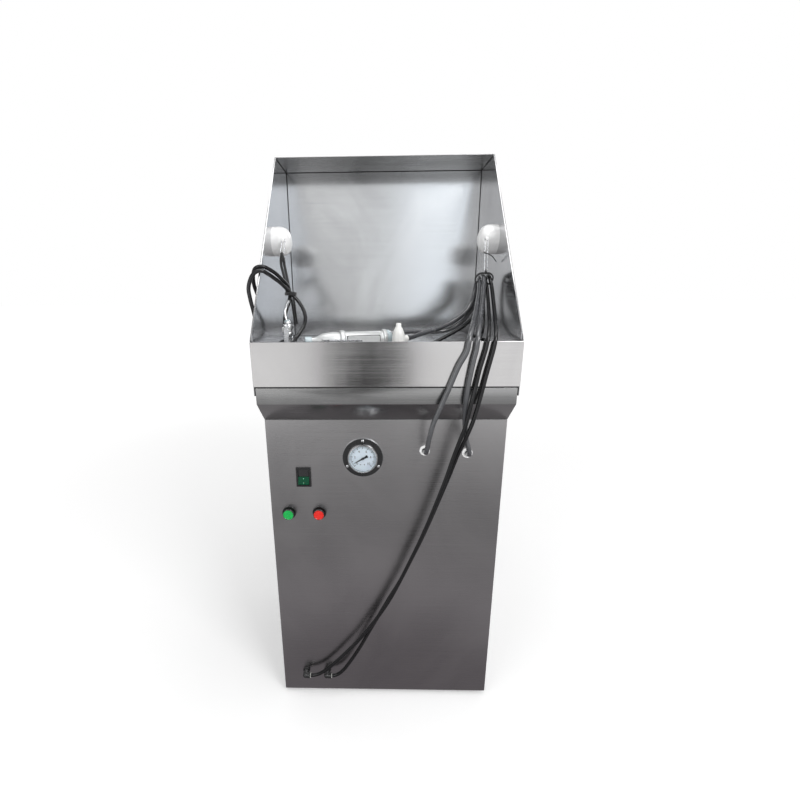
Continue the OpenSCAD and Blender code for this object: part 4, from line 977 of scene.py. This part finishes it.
def floor_material():
    """Pale, with painted light: an emission that grows with distance, so the floor near the object
    is darker as painted shade; reflections see a darker ramp instead, a painted shade darkest near
    the object.
    """
    mat, nodes, links, bsdf = new_material("floor_pale", {
        "Base Color": (0.86, 0.86, 0.86, 1), "Roughness": 0.9, "Emission Color": (1, 1, 1, 1)})
    coord = nodes.new("ShaderNodeTexCoord")
    far = nodes.new("ShaderNodeVectorMath")
    far.operation = "LENGTH"
    links.new(coord.outputs["Object"], far.inputs[0])
    # painted light: the floor's emission grows with distance from the object
    painted_light_lift = map_range(nodes, links, far.outputs["Value"], (0.5, 4.0), (0.22, 0.62))
    links.new(painted_light_lift, bsdf.inputs["Emission Strength"])
    # painted shade for reflections: a ramp of tones darkest near the object
    ramp = nodes.new("ShaderNodeValToRGB")
    stops = ramp.color_ramp.elements
    stops[0].color = (*REFLECTED_FLOOR_SHADE_NEAR, 1)
    stops[1].color = (*REFLECTED_FLOOR_FAR, 1)
    for at, tone in REFLECTED_FLOOR_SHADE_TONES:
        stops.new(at).color = (*tone, 1)
    links.new(map_range(nodes, links, far.outputs["Value"], (0.2, 3.2), (0.0, 1.0)),
              ramp.inputs["Fac"])
    glow = nodes.new("ShaderNodeEmission")
    links.new(ramp.outputs["Color"], glow.inputs["Color"])
    path = nodes.new("ShaderNodeLightPath")
    mix = nodes.new("ShaderNodeMixShader")
    links.new(path.outputs["Is Glossy Ray"], mix.inputs[0])
    links.new(bsdf.outputs["BSDF"], mix.inputs[1])
    links.new(glow.outputs["Emission"], mix.inputs[2])
    links.new(mix.outputs["Shader"], nodes["Material Output"].inputs["Surface"])
    return mat


def sheet(name, corners, mat):
    """One flat face that stages the object."""
    mesh = bpy.data.meshes.new(name)
    mesh.from_pydata(corners, [], [(0, 1, 2, 3)])
    mesh.materials.append(mat)
    obj = link(bpy.data.objects.new(name, mesh))
    return obj


def wall_card(name, x0, x1, z0, z1, colour, strength):
    """A glowing card in front of the object that only reflections see."""
    mat = new_material(name, {"Base Color": (0, 0, 0, 1), "Emission Color": (*colour, 1),
                              "Emission Strength": strength})[0]
    obj = sheet(name, [(x0, CARD_Y, z0), (x1, CARD_Y, z0), (x1, CARD_Y, z1), (x0, CARD_Y, z1)],
                mat)
    obj.visible_camera = False
    obj.visible_diffuse = False
    obj.visible_shadow = False


def area(name, place, target, size, power):
    data = bpy.data.lights.new(name, "AREA")
    data.shape = "RECTANGLE"
    data.size, data.size_y = size
    data.energy = power
    obj = link(bpy.data.objects.new(name, data))
    ray = Vector(target) - Vector(place)
    obj.matrix_world = (Matrix.Translation(place)
                        @ ray.to_track_quat("-Z", "Y").to_matrix().to_4x4())


light_world()
sheet("floor", [(-FLOOR_HALF, -FLOOR_HALF, 0), (FLOOR_HALF, -FLOOR_HALF, 0),
                (FLOOR_HALF, FLOOR_HALF, 0), (-FLOOR_HALF, FLOOR_HALF, 0)], floor_material())
wall_card("card_low_left", -3.0, -0.42, 0.02, 0.71, (1, 1, 1), 0.95)
wall_card("card_low", -0.42, 0.22, 0.02, 0.71, (1, 1, 1), 0.02)
wall_card("card_low_right", 0.22, 3.0, 0.02, 0.71, (1, 1, 1), 1.0)
wall_card("card_left", -1.6, 0.10, 0.71, 2.4, (1, 1, 1), 0.66)
wall_card("card_middle", 0.10, 0.28, 0.71, 2.4, (0.96, 0.98, 1), 0.95)
wall_card("card_streak", 0.28, 0.90, 0.71, 2.4, (0.90, 0.95, 1), 1.35)
area("key", (1.2, -1.6, 2.2), (0, 0, 0.9), (0.9, 0.9), 26)
area("fill", (-1.4, -1.6, 1.5), (0, 0, 0.8), (1.2, 1.2), 9)
area("top", (0.0, -0.2, 2.6), (0, 0, 0.8), (1.4, 1.0), 14)
